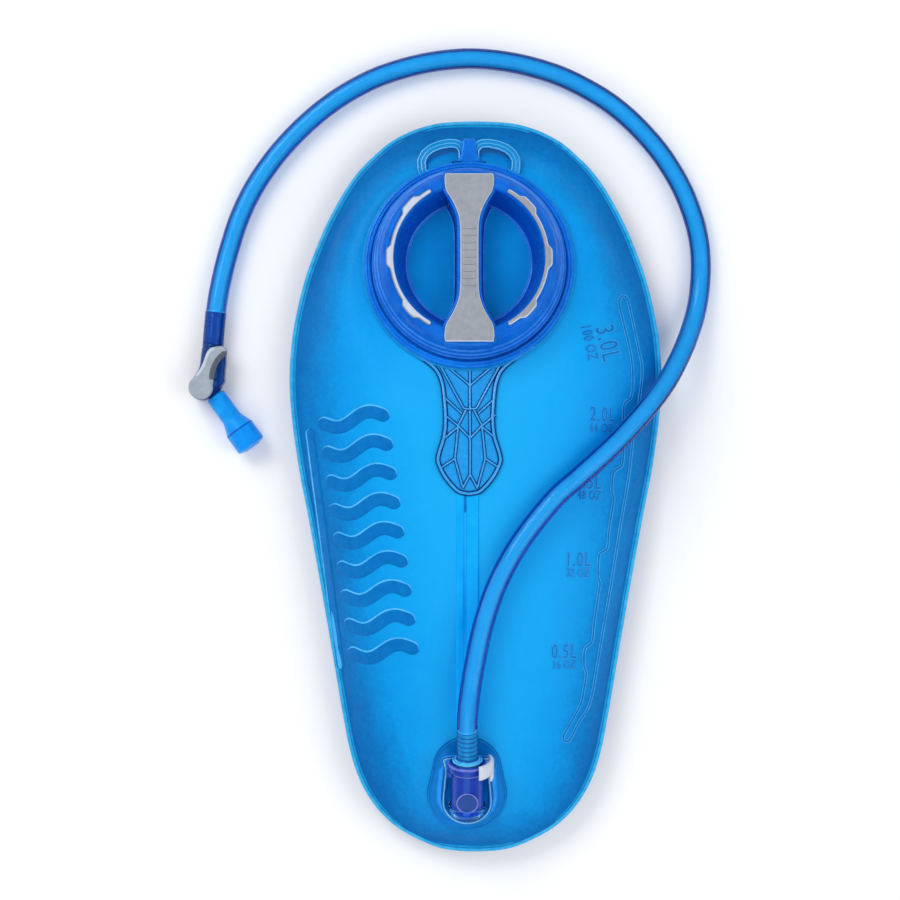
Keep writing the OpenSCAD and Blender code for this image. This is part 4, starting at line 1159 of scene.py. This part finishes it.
def shell_half(y):
    """Half width of the blue bar under the grip, with its shoulders over the rim."""
    a = abs(y)
    if a <= 46.6:
        return float(bar_half(y)) + 1.6
    return float(np.interp(a, [46.6, 47.4, 50.6], [15.0, 14.9, 12.6]))


ys = np.concatenate([np.linspace(-50.6, -49.6, 5), np.linspace(-49.2, 49.2, 104), np.linspace(49.6, 50.6, 5)])
bv, bf = bar_solid(ys, 0.0, 5.0, lambda y: arch(y), 0.9, half=shell_half)
bv = np.array(bv)
r_b = np.hypot(bv[:, 0], bv[:, 1])
# the foot leans out to the floor, inside the recess only
foot = (bv[:, 2] < 6) & (np.abs(bv[:, 1]) < 33)
bv[foot, 0] += np.sign(bv[foot, 0]) * 1.2
# outside the rim the shoulders slope down with it and stand on its flank
bv[:, 2] = np.where(bv[:, 2] > 6, np.minimum(bv[:, 2], np.maximum(18.9, 20.5 + (51.2 - r_b) * 1.875)), bv[:, 2])
low = (bv[:, 2] < 19) & (np.abs(bv[:, 1]) > 35)
bv[low, 2] = np.maximum(bv[low, 2], np.where(r_b[low] > 40.9, 18.9, 9.5))
parts = [(v, f), (place(AT_CAP, bv), bf)]
# the lower sides of the bar's shell take painted shade
cap_mat += [2 if (i % 19) in (0, 1, 16, 17) else 0 for i in range(len(bf))]
# painted highlight line where the recess walls and the bar's foot meet the floor
for sgn in (1, -1):
    ys_d = np.linspace(-31.2, 31.2, 60)
    foot_x = [(float(bar_half(y)) + 3.1, y) for y in ys_d]
    a_d = math.atan2(31.9, 13.6)
    arc_d = [(34.55 * math.cos(a), 34.55 * math.sin(a)) for a in np.linspace(a_d, -a_d, 60)]
    loop_d = fillet(np.array([(sgn * x, y) for x, y in foot_x + arc_d]), 1.2, 3)
    lv_, lf_ = bead(loop_d, 0.95, 0.42, closed=True, surface=lambda x, y: np.full(np.shape(x), 6.6), sink=0.2, step=0.9)
    parts.append((place(AT_CAP, lv_), lf_))
    cap_mat += [3] * len(lf_)
for i in range(3):
    rv, rf = ridge(48.9, 45.8, 6.6, 120 * i, 50, 0.95, 0.5)
    parts.append((place(AT_CAP, rv), rf))
    cap_mat += [0] * len(rf)
cv, cf = join(parts)
cap = make("cap_body", cv, cf, [m_cap.m, m_capfloor.m, m_cap_wall_shade.m, m_cap_highlight.m], "cap", face_mat=cap_mat)
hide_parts("cap_shell")

ys = np.concatenate([np.linspace(-47.2, -46.5, 6), np.linspace(-46.1, 46.1, 92), np.linspace(46.5, 47.2, 6)])
gv, gf = bar_solid(ys, 0.0, 23.0, lambda y: arch(y) + 1.38, 0.6)
bar_parts = [(place(AT_CAP, gv), gf)]
# the rounded top edges and the ends of the bar take the lighter colour: painted highlight
bar_mats = [1 if (i % 19) in (2, 3, 4, 5, 12, 13, 14, 15) or i // 19 < 4 or i // 19 > len(ys) - 6 else 0 for i in range((len(ys) - 1) * 19)] + [1, 1]
# shallow grip ribs across the waist, in place of any mark
for i in range(9):
    y = -16 + i * 4
    hw = float(bar_half(y)) - 1.5
    p = [(-hw, y), (hw, y)]
    rv, rf = bead(resample(p, 0.8), 1.3, 0.45, surface=lambda x, yy: np.array([arch(b) + 1.36 for b in np.atleast_1d(yy)]), sink=0.2, step=0.8)
    bar_parts.append((place(AT_CAP, rv), rf))
    # one flank of each rib takes a painted highlight, the other painted shade
    bar_mats += [1 if (q % 9) in (0, 1) else (2 if (q % 9) in (6, 7) else 0) for q in range(len(rf))]
v, f = join(bar_parts)
grip = make("cap_grip_bar_soft", v, f, [m_grip.m, m_grip_highlight.m, m_lever_dark.m], "cap", face_mat=bar_mats)
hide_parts("cap_grip_bar")


def grip_arc(turn):
    angs = np.radians(np.concatenate([np.linspace(-60.5, -58.4, 6), np.linspace(-58, 58, 160), np.linspace(58.4, 60.5, 6)]))
    v = []
    for a in angs:
        d = math.degrees(a)
        pad = 0.0
        for lo_, hi_ in ((-48.5, -35.5), (-6.5, 6.5), (35.5, 48.5)):
            pad = max(pad, float(sm((d - lo_ + 3.0) / 4.6) * sm((hi_ + 3.0 - d) / 4.6)))
        e = min(1, (60.5 - abs(d)) / 2.0)
        wdt = math.sqrt(max(0.02, 1 - (1 - e) ** 2))
        r0 = 43.1 - 1.1 * wdt
        r1 = 43.1 + (1.1 + 1.9 * pad) * wdt
        h = 1.1 * (0.5 + 0.5 * wdt)
        b = 0.45
        sec = [(r0, 24.6), (r0, 25 + h - b), (r0 + b * 0.3, 25 + h - b * 0.3), (r0 + b, 25 + h), (r1 - b * 1.6, 25 + h - 0.05 * pad),
               (r1 - b * 0.4, 25 + h - b * 0.5 - 0.1 * pad), (r1, 25 + h - b * 1.3 - 0.2 * pad), (r1, 24.6 - 0.7 * pad)]
        v += [(r * math.cos(a + turn), r * math.sin(a + turn), z) for r, z in sec]
    k = 8
    f = grid(len(angs), k, close_v=True)
    f += [tuple(range(k)), tuple((len(angs) - 1) * k + j for j in range(k))[::-1]]
    return place(AT_CAP, v), f


# the outer top edge of each arc takes the lighter colour: painted highlight
v, f = join([grip_arc(0), grip_arc(math.pi)])
arcs = make("cap_grip_arcs_soft", v, f, [m_grip.m, m_grip_highlight.m], "cap", face_mat=[1 if q < len(f) - 4 and (q % 8) in (4, 5) else 0 for q in range(len(f))])
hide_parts("cap_grip_arcs")

gk = fillet([(41.7, NECK_H + 0.12), (45.4, NECK_H + 0.12), (45.6, NECK_H + 0.9), (45.4, 17.9), (41.7, 17.9), (41.5, NECK_H + 0.9)], 0.3, 3)
v, f = lathe(gk, 128, AT_CAP)
gasket = make("cap_gasket_ring", v, f, m_gasket.m, "cap_seal")
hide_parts("cap_gasket")

# ---------------------------------------------------------------- outlet port
def egg_outline(n=60):
    """Two circles joined by straight sides."""
    b = math.asin((22.6 - 19.4) / (8.3 + 7.6))
    up = [(19.4 * math.cos(a), 8.3 + 19.4 * math.sin(a)) for a in np.linspace(b, math.pi - b, n)]
    dn = [(22.6 * math.cos(a), -7.6 + 22.6 * math.sin(a)) for a in np.linspace(math.pi - b, 2 * math.pi + b, n)]
    return resample(np.array(up + dn[1:-1]), 1.1, closed=True)


egg = egg_outline()
EGG_SEC = [(1.2, 0.2), (0.0, 0.35), (0.0, 0.9), (0.25, 1.45), (0.65, 1.75), (1.05, 1.7), (1.4, 1.45), (1.9, 1.4), (3.0, 1.4)]
v, f = plate(egg, EGG_SEC, AT_PORT)
# the outer wall takes the darker line colour: painted shade for the dark refraction at the edge
egg_mats = [1 if j in (1, 2) else 0 for j in range(len(EGG_SEC) - 1) for _ in range(len(egg))]
egg_mats += [0] * (len(f) - len(egg_mats))
flange = make("port_flange_clear", v, f, [m_egg.m, m_port_line_shade.m, m_flange_mid.m], face_mat=egg_mats)

cr = [(12.2, 15.6), (-12.2, 15.6), (-12.9, 8), (-14.2, -6)] + [(14.4 * math.cos(math.radians(a)), -8.6 + 14.4 * math.sin(math.radians(a))) for a in range(192, 350, 12)] + [(14.2, -6), (12.9, 8)]
cr = resample(spline(np.array(cr), 6, closed=True), 0.9, closed=True)
if area_sign(cr) < 0:
    cr = cr[::-1]
nr = normals_2d(cr)
CR_SEC = [(-3.4, 1.2), (-3.2, 1.75), (-1.1, 3.4), (-0.5, 4.0), (-0.3, 7.4), (0.05, 8.2), (0.5, 8.55), (1.0, 8.55), (1.35, 8.2), (1.6, 7.4), (2.0, 3.2), (3.0, 2.0), (6.5, 1.8), (6.5, 1.2)]
# the top of the inner wall takes painted shade (1), the crest a painted highlight (2)
CR_MAT = [0, 0, 0, 1, 1, 1, 2, 2, 0, 0, 0, 0, 0, 0]
v = []
for i in range(len(cr)):
    for o_, z in CR_SEC:
        front = float(sm((cr[i][1] - 8.0) / 3.5))
        oo = o_ * (1 - 0.75 * front) if o_ < 0 else o_
        q = cr[i] - nr[i] * oo
        zz = z if z < 2.1 else z * (1 - front) + min(z, 2.3) * front
        v.append((q[0], q[1], zz))
f = grid(len(cr), len(CR_SEC), close_u=True, close_v=True)
cr_mats = [CR_MAT[i % len(CR_SEC)] for i in range(len(f))]
cradle_p = (place(AT_PORT, v), f)
# end cup under the closed end of the socket, and a short tube at the inlet
cup = [(0, -16.2), (6.6, -16.2), (9.0, -15.0), (10.3, -12.6), (10.6, -9.0), (9.4, -9.0), (9.3, -12.0), (8.5, -14.0), (6.2, -15.0), (0, -15.0)]
cup_v, cup_f = lathe(fillet(cup, 0.4, 3), 64, SOCKET)
inlet = lathe(fillet([(4.0, -4.0), (5.2, -4.0), (5.2, 2), (4.0, 2)], 0.3, 3), 48, AT_PORT @ Matrix.Translation(Vector((0, -8, 0))))
v, f = join([cradle_p, (cup_v, cup_f), inlet])
cr_mats += [3] * (len(f) - len(cr_mats))
cradle_o = make("port_cradle_clear", v, f, [m_cradle.m, m_port_line_shade.m, m_clear_highlight.m, m_clear_port.m], face_mat=cr_mats)
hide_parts("outlet_port")
for o in (flange, cradle_o):
    bm = bmesh.new()
    bm.from_mesh(o.data)
    bmesh.ops.recalc_face_normals(bm, faces=bm.faces)
    bm.to_mesh(o.data)
    bm.free()

sock = [(0, -14.4), (6.4, -14.4), (8.4, -13.2), (9, -11.4), (9, 11.3), (11, 12.9), (11, 16.2), (10.2, 16.5), (10.2, 17), (9.7, 17.5), (8.9, 17.5),
        (8.5, 17), (7.3, 16.6), (7.0, 16.2), (7.0, 4.2), (4, 3), (4, 1), (6, 1), (6, -10.8), (0, -10.8)]
sp = fillet(sock, [0, 1.2, 1.2, 0.8, 0.5, 0.6, 0.4, 0.2, 0.15, 0.2, 0.2, 0.15, 0.15, 0.15, 0.2, 0.2, 0.2, 0.2, 0.3, 0], 4)
parts = [lathe(sp, 96, SOCKET)]
# the lips at the mouth take the lighter colour: painted highlight
sock_mats = [1 if any(abs(sp[j][1] - q) < 0.5 and sp[j][0] > 8.6 for q in (11.6, 16.5)) else 0 for j in range(len(sp)) for _ in range(96)]
sock_mats = (sock_mats + [0] * len(parts[0][1]))[:len(parts[0][1])]
# raised round boss over the water way, with a rolled edge that carries a painted highlight
boss = fillet([(0, 4.0), (0, 9.3), (4.9, 9.3), (5.3, 8.9), (5.75, 9.6), (6.2, 9.3), (6.2, 4.0)], [0, 0, 0.3, 0.25, 0.3, 0.3, 0], 4)
boss_p = lathe(boss, 72, AT_PORT @ Matrix.Translation(Vector((0, -4, SOCKET_H))))
parts.append(boss_p)
binv = np.array((AT_PORT @ Matrix.Translation(Vector((0, -4, SOCKET_H)))).inverted())
for q in boss_p[1]:
    c = (np.asarray(boss_p[0])[list(q)].mean(axis=0)) @ binv[:3, :3].T + binv[:3, 3]
    r_ = math.hypot(c[0], c[1])
    sock_mats.append(2 if r_ < 5.2 else (1 if c[2] > 8.8 else 0))


def slab(x0, x1, y0, y1, z0, z1, r=0.8):
    poly = fillet([(x0, y0), (x1, y0), (x1, y1), (x0, y1)], r, 5)
    return plate(poly, round_edge(z0, z1, min(0.5, (z1 - z0) / 3)), AT_PORT)


# shoulder and lug beside the mouth on the left, and the housing of the button's spring on the right
parts.append(slab(-11.4, -8.2, 9.4, 13.2, 9.0, 15.6, 1.2))
parts.append(slab(7.5, 10.4, 6.7, 11.3, 8.9, 14.0, 0.8))
v, f = join(parts)
sock_mats += [0] * (len(f) - len(sock_mats))
socket = make("port_socket_body", v, f, [m_socket.m, m_socket_highlight.m, m_boss.m], face_mat=sock_mats)
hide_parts("port_socket")

# button: a curved thumb pad, thick at the face, and its latch plate
angs = np.radians(np.linspace(-61, 22, 70))
v = []
fracs = [(0.0, 0.0), (0.03, 0.35), (0.10, 0.75), (0.22, 0.95), (0.5, 1.0), (0.78, 1.0), (0.91, 0.9), (0.97, 0.5), (1.0, 0.0)]
secs = []
for a in angs:
    e = min(1.0, min(a - angs[0], angs[-1] - a) * 13 / 1.6)
    w = math.sqrt(max(0.0, 1 - (1 - e) ** 2))
    tail = 1 - float(sm((abs(math.degrees(a)) - 13.0) / 4.0))
    s_lo = 11.1 - 4.6 * tail
    ring = []
    for t_, h in fracs:
        ring.append((13.0 + (1.9 * (0.25 + 0.75 * h) * (0.35 + 0.65 * w)), s_lo + (19.5 - s_lo) * t_))
    for t_, h in fracs[::-1]:
        ring.append((12.85, s_lo + (19.5 - s_lo) * t_))
    secs.append([(r * math.cos(a), r * math.sin(a), s_) for r, s_ in ring])
k = len(secs[0])
v = [p for s_ in secs for p in s_]
f = grid(len(secs), k, close_v=True)
f += [tuple(range(k)), tuple((len(secs) - 1) * k + j for j in range(k))[::-1]]
pad_p = (place(SOCKET, v), f)
latch = []
for i in range(64):
    a = 2 * math.pi * i / 64
    latch.append((a, 7.25))
ring_o = [(0.6 + 8.9 * math.cos(a), 8.9 * math.sin(a)) for a, _ in latch]
ring_i = [((1.5 if math.cos(a) > 0 else 0.0) + 7.25 * math.cos(a), 7.25 * math.sin(a)) for a, _ in latch]
v = [(x, y, 13.9) for x, y in ring_o] + [(x, y, 15.3) for x, y in ring_o] + [(x, y, 15.3) for x, y in ring_i] + [(x, y, 13.9) for x, y in ring_i]
f = grid(4, 64, close_u=True, close_v=True)
latch_p = (place(SOCKET, v), f)
arm = plate(fillet([(8.8, -4.9), (13.3, -4.9), (13.3, 4.9), (8.8, 4.9)], 0.5, 3), round_edge(13.95, 15.25, 0.3), SOCKET)
v, f = join([pad_p, latch_p, arm])
button = make("release_button_pad", v, f, m_button.m, "button")
bm = bmesh.new()
bm.from_mesh(button.data)
bmesh.ops.recalc_face_normals(bm, faces=bm.faces)
bm.to_mesh(button.data)
bm.free()
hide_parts("release_button")

# ---------------------------------------------------------------- plug in the port
plug = [(2.8, 5.1), (6.3, 5.1), (6.92, 5.9), (6.92, 8.9), (5.5, 8.9), (5.5, 11.1), (6.92, 11.1), (6.92, 13.5), (5.9, 13.5), (5.9, 15.6), (6.92, 15.6),
        (6.92, 17.6), (8.3, 17.7), (8.55, 18.3), (8.5, 18.9), (7.9, 19.25), (7.5, 18.95), (7.1, 19.5), (6.4, 19.55), (6.1, 19.0), (5.2, 19.05), (4.9, 19.5), (4, 19.5), (4, 21), (4.35, 21.4), (4, 24.4), (4, 24.6), (4.35, 25),
        (4, 28), (4, 28.2), (4.35, 28.6), (4, 31.6), (4, 31.8), (4.3, 32.2), (3.7, 36), (2.8, 36)]
parts = [lathe(fillet(plug, 0.18, 3), 96, SOCKET)]
bar_poly = fillet([(-3, -0.9), (3, -0.9), (3, 0.9), (-3, 0.9)], 0.2, 2)
parts.append(plate(bar_poly, round_edge(5.1, 7.1, 0.25), SOCKET))
v, f = join(parts)
pinv = np.array(SOCKET.inverted())
pv = np.asarray(v) @ pinv[:3, :3].T + pinv[:3, 3]
# the rings in the steps of the flange take the darker colour: painted shade
plug_mats = []
for q in f:
    c = pv[list(q)].mean(axis=0)
    r_ = math.hypot(c[0], c[1])
    plug_mats.append(1 if (c[2] > 17.5 and (5.0 < r_ < 6.3 or 7.3 < r_ < 7.8)) else 0)
plug_o = make("plug_barb", v, f, [m_plug.m, m_plug_dark.m], "drink_line", face_mat=plug_mats)
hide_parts("link_plug")


def torus(r, c, z, m, n=96, k=16):
    return lathe([(r + c * math.cos(a), z + c * math.sin(a)) for a in np.linspace(0, 2 * math.pi, k, endpoint=False)], n, m)


v, f = torus(6.22, 0.72, 10, SOCKET)
ring = make("plug_seal_ring", v, f, m_black.m, "drink_line")
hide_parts("plug_o_ring")

# ---------------------------------------------------------------- shut-off and mouthpiece
R = 7.2
inlet_prof = fillet([(0, -21), (6.2, -21), (6.9, -20), (6.5, -8), (6.2, -2.2), (6.0, -1.6), (6.0, -1.2), (6.2, -0.9), (6.0, 0), (4.2, 0.2), (4, 1.4), (4.4, 1.8), (4, 5), (4, 5.2), (4.4, 5.6), (4, 9),
                     (4, 9.2), (4.4, 9.6), (4, 13), (4, 13.2), (4.3, 13.6), (3.6, 18), (2.6, 18), (2.6, -6), (0, -6)], 0.25, 3)
parts = [lathe(inlet_prof, 72, INLET)]
ball = [(R * math.sin(t), R * -math.cos(t)) for t in np.linspace(0, math.pi, 25)]
ball[0], ball[-1] = (0, -R), (0, R)
parts.append(lathe(ball, 64, Matrix.Translation(Vector((-153.4, 60, VALVE_Z)))))
barrel = fillet([(0, 1.8), (6.5, 1.8), (R, 2.5), (R, 12.2), (6.95, 12.6), (6.95, 13.1), (R, 13.5), (R, 15.2), (6.7, 15.7), (5.3, 15.7), (5.2, 15.2), (5.2, 3.4), (0, 3.4)],
                [0, 0.4, 0.6, 0.3, 0.15, 0.15, 0.3, 0.5, 0.3, 0.2, 0.3, 0.3, 0], 4)
parts.append(lathe(barrel, 72, AT_HUB))
# web between the barrel and the inlet
web_poly = [(-164.9, 58.6), (-162.8, 63.2), (-160.2, 67.0), (-158.4, 72), (-157.6, 80.2), (-146.4, 80.2), (-144.3, 77.4), (-144.4, 71.4), (-145.0, 65.6), (-145.2, 60.6), (-148.6, 55.4), (-153, 51.4), (-158, 50.2), (-163.6, 52.6)]
wp = resample(spline(fillet(np.array(web_poly), 2.0, 3), 2, closed=True), 0.9, closed=True)
parts.append(plate(wp, [(1.6, 4.2), (0.5, 4.8), (0.0, 6.0), (0.0, 12.0), (0.5, 13.2), (1.6, 13.8)]))
spig = fillet([(0, -5), (4.5, -5), (4.5, 1.0), (5.6, 1.0), (5.6, 0.0), (4.5, 0.0), (4.5, 11), (4.1, 13), (3.0, 13), (3.0, 2), (0, 2)], 0.15, 2)
spig = fillet([(0, -5), (4.5, -5), (4.5, 11), (4.1, 13), (3.0, 13), (3.0, 2), (0, 2)], 0.2, 3)
parts.append(lathe(spig, 64, SPOUT_M))
v, f = join(parts)
valve = make("valve_elbow", v, f, m_valve.m, "drink_line")
bm = bmesh.new()
bm.from_mesh(valve.data)
bmesh.ops.recalc_face_normals(bm, faces=bm.faces)
bm.to_mesh(valve.data)
bm.free()
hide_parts("valve_body")

LEVER = [(-163.2, 60.4), (-161.0, 64.2), (-158.8, 67.2), (-156.7, 71.2), (-155.2, 75.6), (-153.8, 78.4), (-151.4, 80.1), (-146.8, 80.8), (-144.0, 80.2), (-142.9, 78.2),
         (-143.5, 75.6), (-146.4, 72.8), (-148.6, 69.2), (-150.1, 64.6), (-151.1, 58.5)]
lp = resample(spline(LEVER, 5), 0.7)
back_arc = [(HUB[0] + 6.6 * math.cos(a), HUB[1] + 6.6 * math.sin(a)) for a in np.linspace(math.radians(5), math.radians(-225), 30)][1:-1]
outline = [tuple(p) for p in lp] + [tuple(p) for p in back_arc]
lv = np.array(outline)


def lever_top(x, y):
    """The arm rises and falls in one soft wave, with a dished thumb face."""
    d = np.hypot(x - HUB[0], y - HUB[1])
    t = np.clip((d - 6) / 18, 0, 1)
    return 19.1 + 0.25 * np.sin(t * math.pi) - 0.35 * sm((t - 0.62) / 0.38)


if area_sign(lv) < 0:
    lv = lv[::-1]
lv = resample(lv, 0.7, closed=True)
nr = normals_2d(lv)
sec = [(1.2, 16.9, 0), (0.25, 16.9, 0), (0.0, 17.1, 0), (0.0, -1.3, 1), (0.15, -0.8, 1), (0.5, -0.35, 1), (1.0, -0.1, 1), (1.7, 0.0, 1)]
# on the right of the arm the rounded edge opens into a long falling flank
flank_sec = [(1.2, 16.9), (0.25, 16.9), (0.0, 17.1), (0.0, 17.25), (0.7, 17.6), (1.5, 18.15), (2.3, 18.75), (2.9, 19.1)]
d_hub = np.hypot(lv[:, 0] - HUB[0], lv[:, 1] - HUB[1])
right = (lv[:, 0] > -151.8) & (lv[:, 1] > 58) & (lv[:, 1] < 79.5)
flank = np.where(right, sm((d_hub - 6.6) / 4.0) * sm((79.4 - lv[:, 1]) / 3.0) * sm((lv[:, 0] + 151.8) / 1.2), 0.0)
v = []
for (o_, z, rel), (fo_, fz_) in zip(sec, flank_sec):
    off = o_ * (1 - flank) + fo_ * flank
    q = lv - nr * off[:, None]
    for (x, y), w_ in zip(q, flank):
        zz = (float(lever_top(x, y)) + z) if rel else z
        v.append((x, y, zz * (1 - w_) + fz_ * w_))
n = len(lv)
# the falling flank takes painted shade (2), the left top edge a painted highlight (1)
f, lever_mats = [], []
for j in range(len(sec) - 1):
    for i in range(n):
        ii = (i + 1) % n
        f.append((j * n + i, j * n + ii, (j + 1) * n + ii, (j + 1) * n + i))
        w_ = (flank[i] + flank[ii]) / 2
        lever_mats.append(2 if w_ > 0.5 and j >= 2 else (1 if j >= 4 and w_ < 0.2 and lv[i][0] < -150 else 0))
for j in (0, len(sec) - 1):
    ringv = [Vector((v[j * n + i][0], v[j * n + i][1], 0)) for i in range(n)]
    tris = [tuple(j * n + i for i in t) for t in tessellate_polygon([ringv])]
    f += tris
    lever_mats += [0] * len(tris)
hub = lathe(fillet([(0, 16.5), (6.6, 16.5), (7, 16.8), (7, 18.7), (6.5, 19.35), (5.6, 19.55), (0, 19.6)], [0, 0.2, 0.3, 0.8, 0.5, 0.6, 0], 4), 72, AT_HUB)
v, f = join([(v, f), hub])
lever_mats += [0] * (len(f) - len(lever_mats))
lever = make("shutoff_lever_thumb", v, f, [m_lever.m, m_lever_highlight.m, m_lever_dark.m], "shutoff", face_mat=lever_mats)
bm = bmesh.new()
bm.from_mesh(lever.data)
bmesh.ops.recalc_face_normals(bm, faces=bm.faces)
bm.to_mesh(lever.data)
bm.free()
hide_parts("shutoff_lever")

bite = [(4.55, 1.3), (5.5, 1.3), (5.8, 1.7), (5.8, 17.6), (8.45, 24.8), (8.7, 25.3), (8.62, 25.6), (8.7, 25.9), (8.7, 36.2), (8.2, 36.9), (6, 37.6), (3, 38.1), (0, 38.3),
        (0, 35.6), (3, 35.3), (5.6, 34.4), (6.9, 33.4), (6.9, 26.8), (4.55, 19)]
bp = fillet(bite, [0.2, 0.3, 0.3, 0.8, 0.12, 0.1, 0.1, 0.12, 0.3, 0.5, 1, 1, 0, 0, 1, 1, 0.6, 1, 1], 4)
v, f = lathe(bp, 80, SPOUT_M)
binv = np.array(SPOUT_M.inverted())
bvl = np.asarray(v) @ binv[:3, :3].T + binv[:3, 3]
# the notch ring takes the darker colour: painted shade in the groove
bite_mats = []
for q in f:
    c = bvl[list(q)].mean(axis=0)
    bite_mats.append(1 if math.hypot(c[0], c[1]) > 7.6 and 24.7 < c[2] < 26.0 else 0)
bite_o = make("bite_mouthpiece", v, f, [m_bite.m, m_bite_groove_shade.m], "drink_line", face_mat=bite_mats)
# the slit: a slim black sliver let into the dome, painted shade standing for the cut
slit = [(4.7 * math.cos(t), 0.22 * math.sin(t)) for t in np.linspace(0, 2 * math.pi, 40, endpoint=False)]
sv, sf = plate(slit, [(0.02, 36.2), (0.0, 36.4), (0.0, 38.12), (0.05, 38.14)], SPOUT_M)
slit_o = make("bite_slit", [tuple(p) for p in place(SPOUT_M, [(0.9 * y * 1.0, x, z) for x, y, z in place(SPOUT_M.inverted(), sv)])], sf, m_black.m, "drink_line")
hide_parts("bite_valve")

# ---------------------------------------------------------------- pieces whose CAD shape is right
for node, mat in (("port_poppet", m_white), ("poppet_seal", m_black), ("poppet_spring", m_steel), ("button_spring", m_steel),
                  ("shutoff_core", m_white), ("core_o_rings", m_black)):
    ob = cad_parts[node]
    if not ob.material_slots:
        ob.data.materials.append(mat.m)
    for sl in ob.material_slots:
        sl.material = mat.m


# ---------------------------------------------------------------- floor, light
floor_mat = Mat("floor_pale")
floor_mat.colour(floor_mat.noise(3.0, 2), [(0.3, (0.93, 0.93, 0.93, 1)), (0.7, (0.95, 0.95, 0.95, 1))])
floor_mat.set(Roughness=0.9, Specular_IOR_Level=0.1)
fm = bpy.data.meshes.new("floor")
s = 3.0
fm.from_pydata([(-s, -s, -0.0006), (s, -s, -0.0006), (s, s, -0.0006), (-s, s, -0.0006)], [], [(0, 1, 2, 3)])
fm.materials.append(floor_mat.m)
floor = bpy.data.objects.new("floor", fm)
bpy.context.scene.collection.objects.link(floor)


def lamp(name, loc, target, size, power, size_y=None):
    d = bpy.data.lights.new(name, "AREA")
    d.shape = "RECTANGLE"
    d.size, d.size_y = size, size_y or size
    d.energy = power
    o = bpy.data.objects.new(name, d)
    o.location = loc
    o.rotation_euler = (Vector(target) - Vector(loc)).to_track_quat("-Z", "Y").to_euler()
    bpy.context.scene.collection.objects.link(o)
    return o


lamp("key", (-0.75, 0.85, 1.25), (0, 0, 0.02), 0.8, 10.2)
lamp("fill", (1.1, -0.2, 1.2), (0, 0, 0.02), 1.1, 7.0)
lamp("foot", (-0.1, -1.2, 1.0), (0, -0.05, 0.02), 1.0, 4.6)
lamp("side", (-0.9, 0.25, 0.32), (-0.05, 0.12, 0.04), 0.25, 0.7, 0.9)
world = bpy.data.worlds.new("world")
world.use_nodes = True
world.node_tree.nodes["Background"].inputs[0].default_value = (0.95, 0.97, 1.0, 1)
world.node_tree.nodes["Background"].inputs[1].default_value = 0.6
bpy.context.scene.world = world
bpy.context.scene.view_settings.view_transform = "Standard"
